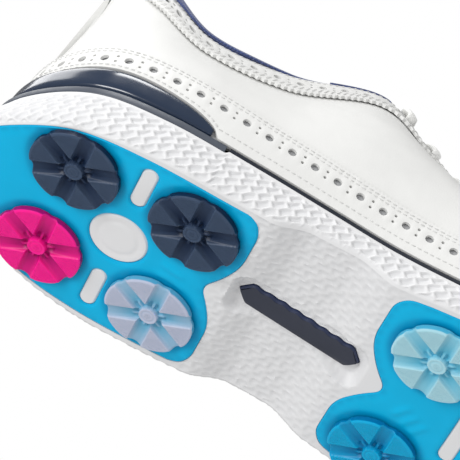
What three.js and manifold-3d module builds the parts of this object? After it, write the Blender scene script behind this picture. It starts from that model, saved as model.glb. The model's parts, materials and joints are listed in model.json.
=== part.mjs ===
// A right golf shoe with twist-in soft cleats, in millimetres.
// +X runs from heel to toe, +Y to the inner side of the foot, +Z up.
// The origin is on the floor, under the middle of the shoe.
import * as THREE from "three";
import { mergeVertices } from "three/addons/utils/BufferGeometryUtils.js";
import Module from "manifold-3d";

const wasm = await Module();
wasm.setup();

// ---- Driving dimensions ----

const LENGTH = 298; // heel to toe
const WIDTH = 104; // across the ball of the foot
const SOLE_HEIGHT = 22; // floor to the edge where the heel meets the sole
const UPPER_HEIGHT = 75; // that edge to the top of the heel tab
const GAP = 0.3; // clearance between pieces that touch

const LEATHER = 1.4; // main panels of the upper
const OVERLAY = 1.2; // stitched-on leather: mudguard, facings, backstay
const UNDERLAY = 0.45; // glue and thread under an overlay
const LINING = 1.0;
const STIFFENER = 1.2; // heel counter and toe puff
const COLLAR_FOAM = 4.5; // thickest part of the ankle padding
const FOAM_EDGE = 0.6; // its thinnest part
const COLLAR_DEPTH = 24; // how far the padding reaches down from the topline
const COLLAR_ROLL = 3; // height of the lining's roll above the leather

const RAND_HEIGHT = 1.8; // thin strip between sole and upper
const SHELF_HEIGHT = 2.6; // thicker strip round the heel
const SHELF_END = 72; // distance of its front ends from the heel
const RAND_INSIDE = 3.2; // how far both strips reach in under the upper
const CLIP_THICKNESS = 2;
const CLIP_HEIGHT = 9; // tallest part of the glossy heel clip
const CLIP_END = 67;
const MUDGUARD_HEIGHT = 14;
const FACING_WIDTH = 12; // strip along the topline and the eyelets
const MUDGUARD_STEP = 5.5; // how much further it reaches over the heel clip
// Ends of pieces counted in ribs of the foot form: from the heel, or from the toe.
const BACKSTAY_RIBS = 0.75;
const COUNTER_RIBS = 3.2;
const COLLAR_RIBS = 4.4;
const VAMP_RIBS = 8.6; // the vamp starts here and runs round the toe
const PUFF_RIBS = 2.2; // from the toe

const PLATE_BOTTOM = 2.6; // floor to the underside of the cleat plates
const PLATE_THICKNESS = 2.2;
const PLATE_BORDER = 4; // white sole left round a plate
const SOLE_PROUD = 0.3; // plates stand out of the sole by this much
const ARCH_RISE = 4; // hollow under the waist of the foot
const ARCH_BEHIND = [0.5, 13.5]; // it starts and is full this far in front of the heel plate
const ARCH_AHEAD = [16.5, 1.5]; // it fades and ends this far behind the ball plate
const TOE_SPRING = 10; // rise of the sole at the toe
const TOE_SPRING_START = 244;

const CLEAT_RADIUS = 14;
const CLEAT_CHAMFER = 0.6;
const CLEAT_GROOVE_WIDTH = 4.7;
const CLEAT_GROOVE_DEPTH = 1.1;
const CLEAT_HUB_RADIUS = 3;
const CLEAT_PADS = 6;
const POST_RADIUS = 5.5; // the threaded post of a cleat
const POST_HEIGHT = 3.6;
const SOCKET_WALL = 2;
const SOCKET_ROOF = 0.9;
const FLANGE_WIDTH = 2.5;
const FLANGE_THICKNESS = 1.2;

const WINDOW_RADIUS = 9.5; // round window in the heel plate
const PILL_LENGTH = 17;
const PILL_WIDTH = 5.6;
const STRIP_LENGTH = 24;

const WINDOW_X = 56.5; // windows of the heel plate, from the heel
const PILL_Y = 24;
const STRIP_X = [170.5, 205]; // windows of the ball plate
const HEEL_PLATE_FRONT = 91.5;
const HEEL_NOTCH = 7.5;
const BALL_PLATE_REAR = 134.5;
const BALL_NOTCH = 11.5;
const BALL_PLATE_FRONT = 240;

const BAR_LENGTH = 41;
const BAR_WIDTH = 8;
const BAR_THICKNESS = 2.6;
const BAR_BOTTOM = 5.4; // floor to the face of the bar

const BOARD_THICKNESS = 1.6;
const SOCKLINER_THICKNESS = 4;
const CUSHION_FLOOR = 10; // underside of the heel cushion above the floor
const CUSHION_INSET = 9; // from the feather edge
const CUSHION_END = 112;

const TONGUE_LEATHER = 1.4;
const TONGUE_FOAM = 4;
const TONGUE_DEPTH = 7.3; // tongue below the outside of the facings
const TONGUE_TUCK = 10; // tongue hidden under each facing
const TONGUE_FREE = 17; // tongue above the top eyelets

const EYELETS = 6; // on each side
const EYELET_RADIUS = 2.4;
const EYELET_INSET = 7; // from the edge of the facing
const FIRST_EYELET = 23.5; // nearest the toe, measured back from the front of the throat
const EYELET_PITCH = 11;
const LACE_STEPS = 80;
const LACE_RADIUS = 1.1;
const LACE_LIFT = 2.15; // middle of the lace above the leather

// ---- The foot form ----
// Ribs climb from the feather edge, where upper and sole meet, to the top edge: the collar,
// then the throat where the laces cross. Each row is one rib, from the middle of the heel
// round the outer side to the toe and back along the inner side:
// feather x, y and height, top x, y and rise, lean of the top, lean of the foot of the rib.
// x are shares of LENGTH, y of WIDTH, heights of SOLE_HEIGHT or UPPER_HEIGHT, leans degrees.
const RIBS = [
  [0.034, 0.01, 1.0, 0.049, 0.01, 1.0, -14, 4],
  [0.054, -0.149, 0.99, 0.066, -0.12, 0.963, -4, 0],
  [0.107, -0.297, 0.964, 0.107, -0.202, 0.78, 14, -5],
  [0.181, -0.355, 0.918, 0.168, -0.243, 0.608, 27, -8],
  [0.275, -0.365, 0.877, 0.255, -0.24, 0.665, 30, -8],
  [0.356, -0.37, 0.818, 0.346, -0.202, 0.887, 38, -8],
  [0.436, -0.388, 0.705, 0.399, -0.163, 0.84, 50, -8],
  [0.53, -0.432, 0.6, 0.477, -0.125, 0.723, 58, -8],
  [0.631, -0.47, 0.56, 0.554, -0.101, 0.613, 65, -8],
  [0.738, -0.46, 0.57, 0.607, -0.077, 0.537, 75, -8],
  [0.848, -0.38, 0.659, 0.628, -0.048, 0.487, 82, -7],
  [0.944, -0.225, 0.841, 0.634, -0.019, 0.427, 86, -6],
  [0.987, 0.058, 0.955, 0.636, 0.019, 0.391, 88, -5],
  [0.957, 0.292, 0.864, 0.634, 0.058, 0.42, 86, -6],
  [0.868, 0.442, 0.691, 0.628, 0.091, 0.477, 82, -7],
  [0.755, 0.499, 0.575, 0.607, 0.12, 0.535, 75, -8],
  [0.648, 0.475, 0.56, 0.554, 0.144, 0.613, 65, -8],
  [0.544, 0.405, 0.6, 0.477, 0.159, 0.723, 58, -8],
  [0.436, 0.349, 0.705, 0.399, 0.188, 0.84, 50, -8],
  [0.356, 0.342, 0.818, 0.346, 0.221, 0.887, 38, -8],
  [0.275, 0.368, 0.877, 0.255, 0.26, 0.665, 30, -8],
  [0.181, 0.375, 0.918, 0.168, 0.262, 0.608, 27, -8],
  [0.107, 0.317, 0.964, 0.107, 0.221, 0.78, 14, -5],
  [0.054, 0.169, 0.99, 0.066, 0.139, 0.963, -4, 0],
];
const ROUND = RIBS.length; // ribs are counted from 0 at the heel to ROUND, the heel again
const TOE = ROUND / 2;
const STEPS = 3; // mesh steps from one rib to the next
const [EDGE_X, EDGE_Y, EDGE_Z, TOP_X, TOP_Y, TOP_RISE, TOP_LEAN, FOOT_LEAN] = [0, 1, 2, 3, 4, 5, 6, 7];
const UP = new THREE.Vector3(0, 0, 1);

const wrap = (rib) => ((rib % ROUND) + ROUND) % ROUND;
const bump = (value, middle, width) => Math.exp(-(((value - middle) / width) ** 2));

// One column of the table at any place between ribs, as a smooth closed curve.
function ribValue(rib, key) {
  const at = wrap(rib);
  const k = Math.floor(at);
  const t = at - k;
  const [a, b, c, d] = [-1, 0, 1, 2].map((step) => RIBS[wrap(k + step)][key]);
  const slopeIn = (c - a) / 2;
  const slopeOut = (d - b) / 2;
  const cubic = 2 * b - 2 * c + slopeIn + slopeOut;
  const square = -3 * b + 3 * c - 2 * slopeIn - slopeOut;
  return b + t * (slopeIn + t * (square + t * cubic));
}

function featherPoint(rib) {
  return new THREE.Vector3(
    ribValue(rib, EDGE_X) * LENGTH,
    ribValue(rib, EDGE_Y) * WIDTH,
    ribValue(rib, EDGE_Z) * SOLE_HEIGHT,
  );
}

// Outward direction of the feather edge, level with the floor.
function outward(rib) {
  const step = 0.05;
  const along = featherPoint(rib + step).sub(featherPoint(rib - step));
  return new THREE.Vector3(along.y, -along.x, 0).normalize();
}

// The rib as a cubic curve, from the feather edge to the top edge.
function ribCurve(rib) {
  const foot = featherPoint(rib);
  const rise = ribValue(rib, TOP_RISE) * UPPER_HEIGHT;
  const top = new THREE.Vector3(
    ribValue(rib, TOP_X) * LENGTH,
    ribValue(rib, TOP_Y) * WIDTH,
    foot.z + rise,
  );
  const inward = new THREE.Vector3(top.x - foot.x, top.y - foot.y, 0).normalize();
  const lean = THREE.MathUtils.degToRad(ribValue(rib, TOP_LEAN));
  const footLean = THREE.MathUtils.degToRad(ribValue(rib, FOOT_LEAN));
  const flatness = Math.max(0, Math.sin(lean));
  const lowReach = rise * (0.4 + 0.22 * flatness);
  const highReach = foot.distanceTo(top) * (0.3 + 0.18 * flatness);
  const low = foot
    .clone()
    .addScaledVector(inward, Math.sin(footLean) * lowReach)
    .addScaledVector(UP, Math.cos(footLean) * lowReach);
  const high = top
    .clone()
    .addScaledVector(inward, -Math.sin(lean) * highReach)
    .addScaledVector(UP, -Math.cos(lean) * highReach);
  return new THREE.CubicBezierCurve3(foot, low, high, top);
}

const curves = new Map(); // each rib's curve is worked out once
function curveAt(rib) {
  const key = wrap(rib).toFixed(5);
  if (!curves.has(key)) {
    const curve = ribCurve(rib);
    curve.arcLengthDivisions = 60;
    curves.set(key, { curve, length: curve.getLength() });
  }
  return curves.get(key);
}
const ribLength = (rib) => curveAt(rib).length;

// The point of a rib a given height along it. Above the top edge the rib goes straight on.
function ribPoint(rib, height) {
  const { curve, length } = curveAt(rib);
  if (height > length) {
    return curve.getPoint(1).addScaledVector(curve.getTangent(1), height - length);
  }
  return curve.getPointAt(Math.max(0, height) / length);
}

// A point of the foot form moved out of it, or into it where out is negative.
function formPoint(rib, height, out) {
  const step = 0.4;
  const low = Math.max(0, height - step);
  const climb = ribPoint(rib, low + 2 * step).sub(ribPoint(rib, low));
  const side = 0.04;
  const share = height / ribLength(rib);
  const sidePoint = (r) => ribPoint(r, share * ribLength(r));
  const along = sidePoint(rib + side).sub(sidePoint(rib - side));
  const normal = new THREE.Vector3().crossVectors(along, climb).normalize();
  return ribPoint(rib, height).addScaledVector(normal, out);
}

// ---- Closed meshes from grids ----

function closedMesh(points, faces) {
  const geometry = new THREE.BufferGeometry();
  geometry.setAttribute(
    "position",
    new THREE.Float32BufferAttribute(points.flatMap((p) => [p.x, p.y, p.z]), 3),
  );
  geometry.setIndex(faces.flat());
  return geometry;
}

// Mesh places from one rib to another: both ends and every whole step between them.
function ribSteps(from, to) {
  const places = [from];
  for (let k = Math.ceil(from * STEPS + 0.2); k <= to * STEPS - 0.2; k++) places.push(k / STEPS);
  places.push(to);
  return places;
}

// A closed sheet between two grids of points with the same rows and columns.
function sheet(inside, outside, closed = false) {
  const columns = outside.length;
  const rows = outside[0].length - 1;
  const points = [...inside.flat(), ...outside.flat()];
  const faces = [];
  const number = (side, column, row) => (side * columns + (column % columns)) * (rows + 1) + row;
  const quad = (a, b, c, d) => faces.push([a, b, c], [a, c, d]);
  const spans = closed ? columns : columns - 1;
  for (let k = 0; k < spans; k++) {
    for (let row = 0; row < rows; row++) {
      quad(number(1, k, row), number(1, k + 1, row), number(1, k + 1, row + 1), number(1, k, row + 1));
      quad(number(0, k, row), number(0, k, row + 1), number(0, k + 1, row + 1), number(0, k + 1, row));
    }
    quad(number(0, k, 0), number(0, k + 1, 0), number(1, k + 1, 0), number(1, k, 0));
    quad(number(0, k, rows), number(1, k, rows), number(1, k + 1, rows), number(0, k + 1, rows));
  }
  for (let row = 0; row < rows && !closed; row++) {
    const end = columns - 1;
    quad(number(0, 0, row), number(1, 0, row), number(1, 0, row + 1), number(0, 0, row + 1));
    quad(number(0, end, row), number(0, end, row + 1), number(1, end, row + 1), number(1, end, row));
  }
  return closedMesh(points, faces);
}

// Heights along a rib, evenly spaced from low to high.
const even = (low, high, rows) => (rib) =>
  Array.from({ length: rows + 1 }, (_, row) => THREE.MathUtils.lerp(low(rib), high(rib), row / rows));

// Heights that lie closer together near the feather edge, where the form is most curved.
// Full-height layers share them, so that one layer's facets lie along the next one's.
const FORM_ROWS = 7;
const CROWDING = 1.4;
const graded = (first, last) => (rib) =>
  Array.from({ length: last - first + 1 }, (_, k) =>
    THREE.MathUtils.lerp(GAP, ribLength(rib), ((first + k) / FORM_ROWS) ** CROWDING),
  );

// A panel that follows the foot form from one rib to another. heights gives its rows;
// inside and outside give its faces as distances out of the form. A panel that goes all the
// way round closes on itself.
function panel({ from, to, heights, inside, outside }) {
  const closed = to - from === ROUND;
  const places = ribSteps(from, to);
  if (closed) places.pop();
  const grid = (out) =>
    places.map((rib) => heights(rib).map((height) => formPoint(rib, height, out(rib, height))));
  return sheet(grid(inside), grid(outside), closed);
}

// A slab with the outline of the foot form. Each level is a loop: how far outside the
// feather edge it lies and how high. Its bottom and top are laid across from the outer
// side to the inner side, rib by rib.
function slab(levels, places = ribSteps(0, ROUND).slice(0, -1)) {
  const across = 2;
  const points = [];
  const faces = [];
  const count = places.length;
  for (const { out, z } of levels) {
    for (const rib of places) {
      const point = featherPoint(rib).addScaledVector(outward(rib), out(rib));
      point.z = z(point, rib);
      points.push(point);
    }
  }
  for (let level = 0; level < levels.length - 1; level++) {
    for (let k = 0; k < count; k++) {
      const next = (k + 1) % count;
      const a = level * count + k;
      const b = level * count + next;
      faces.push([a, b, b + count], [a, b + count, a + count]);
    }
  }
  cap(0, levels[0], true);
  cap((levels.length - 1) * count, levels.at(-1), false);
  return closedMesh(points, faces);

  function cap(start, { z }, facesDown) {
    const half = count / 2;
    const line = (k) => {
      const outer = start + k;
      const inner = start + ((count - k) % count);
      if (outer === inner) return [outer];
      const numbers = [outer];
      for (let j = 1; j < across; j++) {
        const point = points[outer].clone().lerp(points[inner], j / across);
        point.z = z(point, places[k]);
        numbers.push(points.push(point) - 1);
      }
      numbers.push(inner);
      return numbers;
    };
    let before = line(0);
    for (let k = 1; k <= half; k++) {
      const after = line(k);
      for (let j = 0; j < across; j++) {
        const a = before[Math.min(j, before.length - 1)];
        const b = before[Math.min(j + 1, before.length - 1)];
        const c = after[Math.min(j + 1, after.length - 1)];
        const d = after[Math.min(j, after.length - 1)];
        for (const face of [[a, b, c], [a, c, d]]) {
          if (new Set(face).size < 3) continue;
          faces.push(facesDown ? face : face.reverse());
        }
      }
      before = after;
    }
  }
}

// ---- Joins and cuts ----

function solid(geometry) {
  const bare = geometry.index ? geometry.toNonIndexed() : geometry.clone();
  bare.deleteAttribute("normal");
  bare.deleteAttribute("uv");
  const merged = mergeVertices(bare, 1e-3);
  return new wasm.Manifold(
    new wasm.Mesh({
      numProp: 3,
      vertProperties: merged.attributes.position.array,
      triVerts: new Uint32Array(merged.index.array),
    }),
  );
}

function geometryOf(manifold) {
  const mesh = manifold.getMesh();
  const geometry = new THREE.BufferGeometry();
  geometry.setAttribute("position", new THREE.BufferAttribute(mesh.vertProperties, mesh.numProp));
  geometry.setIndex(new THREE.BufferAttribute(mesh.triVerts, 1));
  return geometry;
}

const cut = (body, tools) => tools.reduce((rest, tool) => rest.subtract(solid(tool)), solid(body));
const everywhere = (value) => () => value;
const SEAM = GAP / 20; // half the gap between two pieces that meet on a rib, in ribs

// The rib whose feather point lies a given distance from the heel, on one side of the shoe.
function ribAt(distance, innerSide = false) {
  let near = innerSide ? TOE : 0;
  let far = innerSide ? ROUND : TOE;
  for (let k = 0; k < 40; k++) {
    const middle = (near + far) / 2;
    const beyond = featherPoint(middle).x > distance;
    if (beyond === innerSide) near = middle;
    else far = middle;
  }
  return near;
}

// An outline in the floor's plane pulled up into a plate, with holes.
function plate(outline, holes, bottom, thickness) {
  const shape = new THREE.Shape(outline);
  shape.holes = holes.map((hole) => new THREE.Path(hole));
  const geometry = new THREE.ExtrudeGeometry(shape, { depth: thickness, bevelEnabled: false });
  return geometry.translate(0, 0, bottom);
}

// A ring or disc about the +Z axis from a profile of [radius, height] pairs.
function turned(profile, segments = 18) {
  const points = profile.map(([radius, height]) => new THREE.Vector2(radius, height));
  return new THREE.LatheGeometry(points, segments).rotateX(Math.PI / 2);
}

function pill(x, y, width, length, segments = 5) {
  const radius = width / 2;
  const points = [];
  for (const side of [1, -1]) {
    for (let k = 0; k <= segments; k++) {
      const angle = (Math.PI * k) / segments + (side < 0 ? Math.PI : 0);
      const end = side * (length / 2 - radius);
      points.push(new THREE.Vector2(x + radius * Math.cos(angle), y + end + radius * Math.sin(angle)));
    }
  }
  return points;
}

function circle(x, y, radius, segments = 18) {
  return Array.from({ length: segments }, (_, k) => {
    const angle = (2 * Math.PI * k) / segments;
    return new THREE.Vector2(x + radius * Math.cos(angle), y + radius * Math.sin(angle));
  });
}

// ---- Sole ----

const shelfStart = ribAt(SHELF_END);
const fromHeel = (rib) => Math.min(wrap(rib), ROUND - wrap(rib));
const stripHeight = (rib) => (fromHeel(rib) < shelfStart ? SHELF_HEIGHT : RAND_HEIGHT);
const soleTop = (rib) => featherPoint(rib).z - stripHeight(rib) - GAP;
const heelness = (rib) => bump(fromHeel(rib), 0, 1.4);
const toeness = (rib) => bump(wrap(rib), TOE, 2.2);
const lip = (rib) => 1 + 2.6 * heelness(rib); // sole's top edge outside the feather edge
const flare = (rib) => 1.8 + 7.9 * heelness(rib) - 4 * toeness(rib); // the same, near the floor

function soleBottom(x) {
  const [start, full] = ARCH_BEHIND.map((distance) => HEEL_PLATE_FRONT + distance);
  const [fade, end] = ARCH_AHEAD.map((distance) => BALL_PLATE_REAR - distance);
  const arch = THREE.MathUtils.smoothstep(x, start, full) - THREE.MathUtils.smoothstep(x, fade, end);
  const spring = Math.max(0, (x - TOE_SPRING_START) / (LENGTH - TOE_SPRING_START)) ** 2;
  return PLATE_BOTTOM + SOLE_PROUD + ARCH_RISE * arch + TOE_SPRING * spring;
}

// How far the edge of the sole's underside is drawn in and how high it is at each level.
const WALL_LEVELS = [
  { inset: 2.6, rise: 0 },
  { inset: 0.8, rise: 0.7 },
  { inset: 0, rise: 2.4 },
];

// The strip steps down at the shelf's front ends: a mesh place lies on each side of them.
function solePlaces() {
  const outer = [...ribSteps(0, shelfStart - SEAM), ...ribSteps(shelfStart + SEAM, TOE)];
  const inner = outer.slice(1, -1).map((rib) => ROUND - rib);
  return [...outer, ...inner.reverse()];
}

function soleBlock() {
  const low = WALL_LEVELS.map(({ inset, rise }) => ({
    out: (rib) => flare(rib) - inset,
    z: (point) => soleBottom(point.x) + rise,
  }));
  const high = [0.5, 1].map((share) => ({
    out: (rib) => THREE.MathUtils.lerp(flare(rib), lip(rib), share) + 0.5 * Math.sin(Math.PI * share),
    z: (point, rib) => THREE.MathUtils.lerp(soleBottom(point.x) + 2.4, soleTop(rib), share),
  }));
  return slab([...low, ...high], solePlaces());
}

const NAVY = 0x42506a;
const PINK = 0xf02a94;
const LILAC = 0xb8bed2;
const AQUA = 0x9fcad5;
const BLUE = 0x1fa3cf;
const WHITE = 0xe8e8e6;
const LINING_BLUE = 0x2f4478;
const FOAM = 0xd8d4c8;
const FIBRE = 0x9a8f7a;

// Cleats: x from the heel, y across, colour.
const CLEATS = [
  { name: "heel_rear_outer", x: 36.5, y: -18.1, color: NAVY },
  { name: "heel_rear_inner", x: 36.5, y: 18.1, color: PINK },
  { name: "heel_front_outer", x: 74.9, y: -20.2, color: NAVY },
  { name: "heel_front_inner", x: 74.9, y: 20.2, color: LILAC },
  { name: "ball_rear_outer", x: 153.8, y: -23.1, color: AQUA },
  { name: "ball_rear_inner", x: 152.2, y: 24.8, color: BLUE },
  { name: "ball_middle_outer", x: 188, y: -29, color: NAVY },
  { name: "ball_middle_inner", x: 188, y: 29, color: LILAC },
  { name: "ball_front_outer", x: 222, y: -23, color: PINK },
  { name: "ball_front_inner", x: 222, y: 27, color: AQUA },
];
const HEEL_CLEATS = CLEATS.filter(({ name }) => name.startsWith("heel"));
const BALL_CLEATS = CLEATS.filter(({ name }) => name.startsWith("ball"));

const point2 = (x, y) => new THREE.Vector2(x, y);

// The edge of a plate along the side of the sole, from one rib to another.
function plateSide(from, to, inset = PLATE_BORDER) {
  return ribSteps(from, to).map((rib) => {
    const point = featherPoint(rib).addScaledVector(outward(rib), flare(rib) - inset);
    return point2(point.x, point.y);
  });
}

// A plate's edge across the sole, from the outer lobe over a central notch to the inner lobe.
// Its lobes end at x, and the notch reaches back from them by depth.
function lobedEdge(x, depth, outerY, innerY) {
  const back = (share) => x - depth * share;
  return [
    point2(back(0.25), outerY + 1.6),
    point2(x, outerY + 6),
    point2(x, outerY * 0.42),
    point2(back(0.45), outerY * 0.18),
    point2(back(1), 0),
    point2(back(0.45), innerY * 0.18),
    point2(x, innerY * 0.4),
    point2(x, innerY - 6),
    point2(back(0.25), innerY - 1.6),
  ];
}

function heelPlateOutline() {
  const side = HEEL_PLATE_FRONT - 5;
  const round = plateSide(ribAt(side, true), ROUND + ribAt(side));
  return [...round, ...lobedEdge(HEEL_PLATE_FRONT, HEEL_NOTCH, round.at(-1).y, round[0].y)];
}

function ballPlateOutline() {
  const rear = BALL_PLATE_REAR + 9;
  const front = BALL_PLATE_FRONT - 8;
  const outer = plateSide(ribAt(rear), ribAt(front));
  const inner = plateSide(ribAt(front, true), ribAt(rear, true));
  const toe = [
    point2(BALL_PLATE_FRONT - 2, outer.at(-1).y + 7),
    point2(BALL_PLATE_FRONT, outer.at(-1).y + 16),
    point2(BALL_PLATE_FRONT, inner[0].y - 16),
    point2(BALL_PLATE_FRONT - 2, inner[0].y - 7),
  ];
  const back = lobedEdge(BALL_PLATE_REAR, -BALL_NOTCH, outer[0].y, inner.at(-1).y).reverse();
  return [...outer, ...toe, ...inner, ...back];
}

function heelWindows(clearance) {
  const width = PILL_WIDTH - 2 * clearance;
  const length = PILL_LENGTH - 2 * clearance;
  return [
    circle(WINDOW_X, 0, WINDOW_RADIUS - clearance),
    pill(WINDOW_X, -PILL_Y, width, length),
    pill(WINDOW_X, PILL_Y, width, length),
  ];
}

function ballWindows(clearance) {
  const width = PILL_WIDTH - 2 * clearance;
  const length = STRIP_LENGTH - 2 * clearance;
  return STRIP_X.map((x) => pill(x, 2, width, length));
}

const SOCKET_RADIUS = POST_RADIUS + GAP + SOCKET_WALL;
const FLANGE_RADIUS = SOCKET_RADIUS + FLANGE_WIDTH;
const PLATE_TOP = PLATE_BOTTOM + PLATE_THICKNESS;
const FLANGE_BOTTOM = PLATE_TOP + GAP;
const FLANGE_TOP = FLANGE_BOTTOM + FLANGE_THICKNESS;
const POST_TOP = PLATE_BOTTOM - GAP + POST_HEIGHT;
const SOCKET_TOP = POST_TOP + GAP + SOCKET_ROOF;

const place = (geometry, { x, y }) => geometry.translate(x, y, 0);

// An outline moved outward by a distance, point by point along its own normals.
function grown(outline, distance) {
  const count = outline.length;
  return outline.map((point, k) => {
    const before = outline[(k + count - 1) % count];
    const after = outline[(k + 1) % count];
    const along = after.clone().sub(before).normalize();
    return point2(point.x + along.y * distance, point.y - along.x * distance);
  });
}

function barOutline(extra) {
  const middle = (HEEL_PLATE_FRONT + BALL_PLATE_REAR) / 2 + 1.5;
  const half = BAR_LENGTH / 2 + extra;
  const side = BAR_WIDTH / 2 + extra;
  const shoulder = half - side * 0.8;
  return [
    point2(middle - half, 0),
    point2(middle - shoulder, -side),
    point2(middle + shoulder, -side),
    point2(middle + half, 0),
    point2(middle + shoulder, side),
    point2(middle - shoulder, side),
  ];
}

function socketPocket(cleat) {
  const wide = FLANGE_RADIUS + GAP;
  const narrow = SOCKET_RADIUS + GAP;
  const profile = [
    [0, PLATE_TOP - GAP],
    [wide, PLATE_TOP - GAP],
    [wide, FLANGE_TOP + GAP],
    [narrow, FLANGE_TOP + GAP],
    [narrow, SOCKET_TOP + GAP],
    [0, SOCKET_TOP + GAP],
  ];
  return place(turned(profile), cleat);
}

// The heel cushion's outline: the foot form drawn in, cut off square at the front.
function cushionOutline(extra) {
  const front = CUSHION_END + extra;
  return ribSteps(ribAt(front, true), ROUND + ribAt(front)).map((rib) => {
    const point = featherPoint(rib).addScaledVector(outward(rib), extra - CUSHION_INSET);
    return point2(point.x, point.y);
  });
}

function outsole() {
  const below = PLATE_BOTTOM - 1;
  const pocketDepth = PLATE_TOP + GAP - below;
  const tools = [
    plate(grown(heelPlateOutline(), GAP), heelWindows(GAP), below, pocketDepth),
    plate(grown(ballPlateOutline(), GAP), ballWindows(GAP), below, pocketDepth),
    plate(barOutline(GAP), [], below, BAR_BOTTOM + BAR_THICKNESS + GAP - below),
    plate(cushionOutline(GAP), [], CUSHION_FLOOR - GAP, SOLE_HEIGHT),
    ...CLEATS.map(socketPocket),
  ];
  return geometryOf(cut(soleBlock(), tools));
}

function cleatPlate(outline, windows, cleats) {
  const sockets = cleats.map(({ x, y }) => circle(x, y, SOCKET_RADIUS + GAP));
  return plate(outline, [...windows, ...sockets], PLATE_BOTTOM, PLATE_THICKNESS);
}

function receptacle(cleat) {
  const bore = POST_RADIUS + GAP;
  const profile = [
    [0, POST_TOP + GAP],
    [bore, POST_TOP + GAP],
    [bore, PLATE_BOTTOM],
    [SOCKET_RADIUS, PLATE_BOTTOM],
    [SOCKET_RADIUS, FLANGE_BOTTOM],
    [FLANGE_RADIUS, FLANGE_BOTTOM],
    [FLANGE_RADIUS, FLANGE_TOP],
    [SOCKET_RADIUS, FLANGE_TOP],
    [SOCKET_RADIUS, SOCKET_TOP],
    [0, SOCKET_TOP],
  ];
  return place(turned(profile, 12), cleat);
}

// A cleat: a low disc with pads between six grooves, on a post that twists into its socket.
function cleatBody(cleat) {
  const back = PLATE_BOTTOM - GAP;
  const profile = [
    [0, 0],
    [CLEAT_RADIUS - CLEAT_CHAMFER, 0],
    [CLEAT_RADIUS, CLEAT_CHAMFER],
    [CLEAT_RADIUS, back],
    [POST_RADIUS, back],
    [POST_RADIUS, POST_TOP],
    [0, POST_TOP],
  ];
  const grooves = Array.from({ length: CLEAT_PADS }, (_, k) => {
    const box = new THREE.BoxGeometry(CLEAT_RADIUS, CLEAT_GROOVE_WIDTH, 2 * CLEAT_GROOVE_DEPTH);
    box.translate(CLEAT_HUB_RADIUS + 2 + CLEAT_RADIUS / 2, 0, 0);
    return box.rotateZ(((k + 0.5) * 2 * Math.PI) / CLEAT_PADS);
  });
  return place(geometryOf(cut(turned(profile), grooves)), cleat);
}

// The strip between sole and upper, from one rib to another, square in section.
function strip(from, to, height) {
  const places = ribSteps(from, to);
  const points = [];
  const faces = [];
  for (const rib of places) {
    const corners = [
      [-RAND_INSIDE, height],
      [lip(rib), height],
      [lip(rib), 0],
      [-RAND_INSIDE, 0],
    ];
    for (const [out, drop] of corners) {
      const point = featherPoint(rib).addScaledVector(outward(rib), out);
      point.z -= drop;
      points.push(point);
    }
  }
  const quad = (a, b, c, d) => faces.push([a, b, c], [a, c, d]);
  for (let k = 0; k < places.length - 1; k++) {
    for (let j = 0; j < 4; j++) {
      const next = (j + 1) % 4;
      quad(4 * k + j, 4 * k + 4 + j, 4 * k + 4 + next, 4 * k + next);
    }
  }
  const last = 4 * (places.length - 1);
  quad(0, 1, 2, 3);
  quad(last + 3, last + 2, last + 1, last);
  return closedMesh(points, faces);
}

// ---- Upper ----

const fadeOut = (value, start, end) => 1 - THREE.MathUtils.smoothstep(value, start, end);

// Top edge of the heel clip above the feather edge: a crescent, round at its front ends.
const clipEnd = ribAt(CLIP_END);
function clipHeight(rib) {
  const away = fromHeel(rib) / clipEnd;
  return away < 1 ? CLIP_HEIGHT * (1 - away ** 5) ** 0.5 : 0;
}
const mudguardLow = (rib) => clipHeight(rib) + GAP;
const mudguardHigh = (rib) => MUDGUARD_HEIGHT + MUDGUARD_STEP * bump(fromHeel(rib), 1.5, 2.6);

// Space behind the main panels for the heel counter and the toe puff, from 0 to 1.
const counterZone = (rib) => fadeOut(fromHeel(rib), COUNTER_RIBS, COUNTER_RIBS + 0.8);
const puffZone = (rib) => fadeOut(Math.abs(wrap(rib) - TOE), PUFF_RIBS, PUFF_RIBS + 0.8);
const stiffenerZone = (rib) => Math.max(counterZone(rib), puffZone(rib));
const liningOut = (rib) => -LEATHER - GAP - (STIFFENER + GAP) * stiffenerZone(rib);

// The ankle padding fades out before the front corner of the collar.
const collarFade = (rib) => fadeOut(fromHeel(rib), COLLAR_RIBS - 1, COLLAR_RIBS);
function foamBulge(rib, height) {
  const down = (ribLength(rib) - height) / COLLAR_DEPTH;
  if (down <= 0 || down >= 1) return 0;
  return COLLAR_FOAM * collarFade(rib) * Math.sin(Math.PI * down);
}

const top = (rib) => ribLength(rib);
const heelLiningTop = (rib) => top(rib) - COLLAR_DEPTH - GAP;
const counterTop = (rib) => top(rib) - COLLAR_DEPTH - 1;
const overlay = { inside: everywhere(UNDERLAY), outside: everywhere(UNDERLAY + OVERLAY) };
const leather = { inside: everywhere(-LEATHER), outside: everywhere(0) };
const behindLeather = -LEATHER - GAP;

const quarter = (from, to) => panel({ from, to, heights: graded(0, FORM_ROWS), ...leather });

const facing = (from, to) =>
  panel({ from, to, heights: even((rib) => top(rib) - FACING_WIDTH, top, 2), ...overlay });

const lining = (from, to, heights) =>
  panel({ from, to, heights, inside: (rib) => liningOut(rib) - LINING, outside: liningOut });

const stiffener = (from, to, heights) =>
  panel({
    from,
    to,
    heights,
    inside: everywhere(behindLeather - STIFFENER),
    outside: everywhere(behindLeather),
  });

function heelClip() {
  const end = 0.97; // its tips stop where they still have some height
  return panel({
    from: -clipEnd * end,
    to: clipEnd * end,
    heights: even(everywhere(GAP), clipHeight, 2),
    inside: everywhere(GAP),
    outside: (rib) => GAP + CLIP_THICKNESS * Math.min(1, 0.5 + heelness(rib)),
  });
}

function mudguard() {
  return panel({ from: 0, to: ROUND, heights: even(mudguardLow, mudguardHigh, 2), ...overlay });
}

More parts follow.
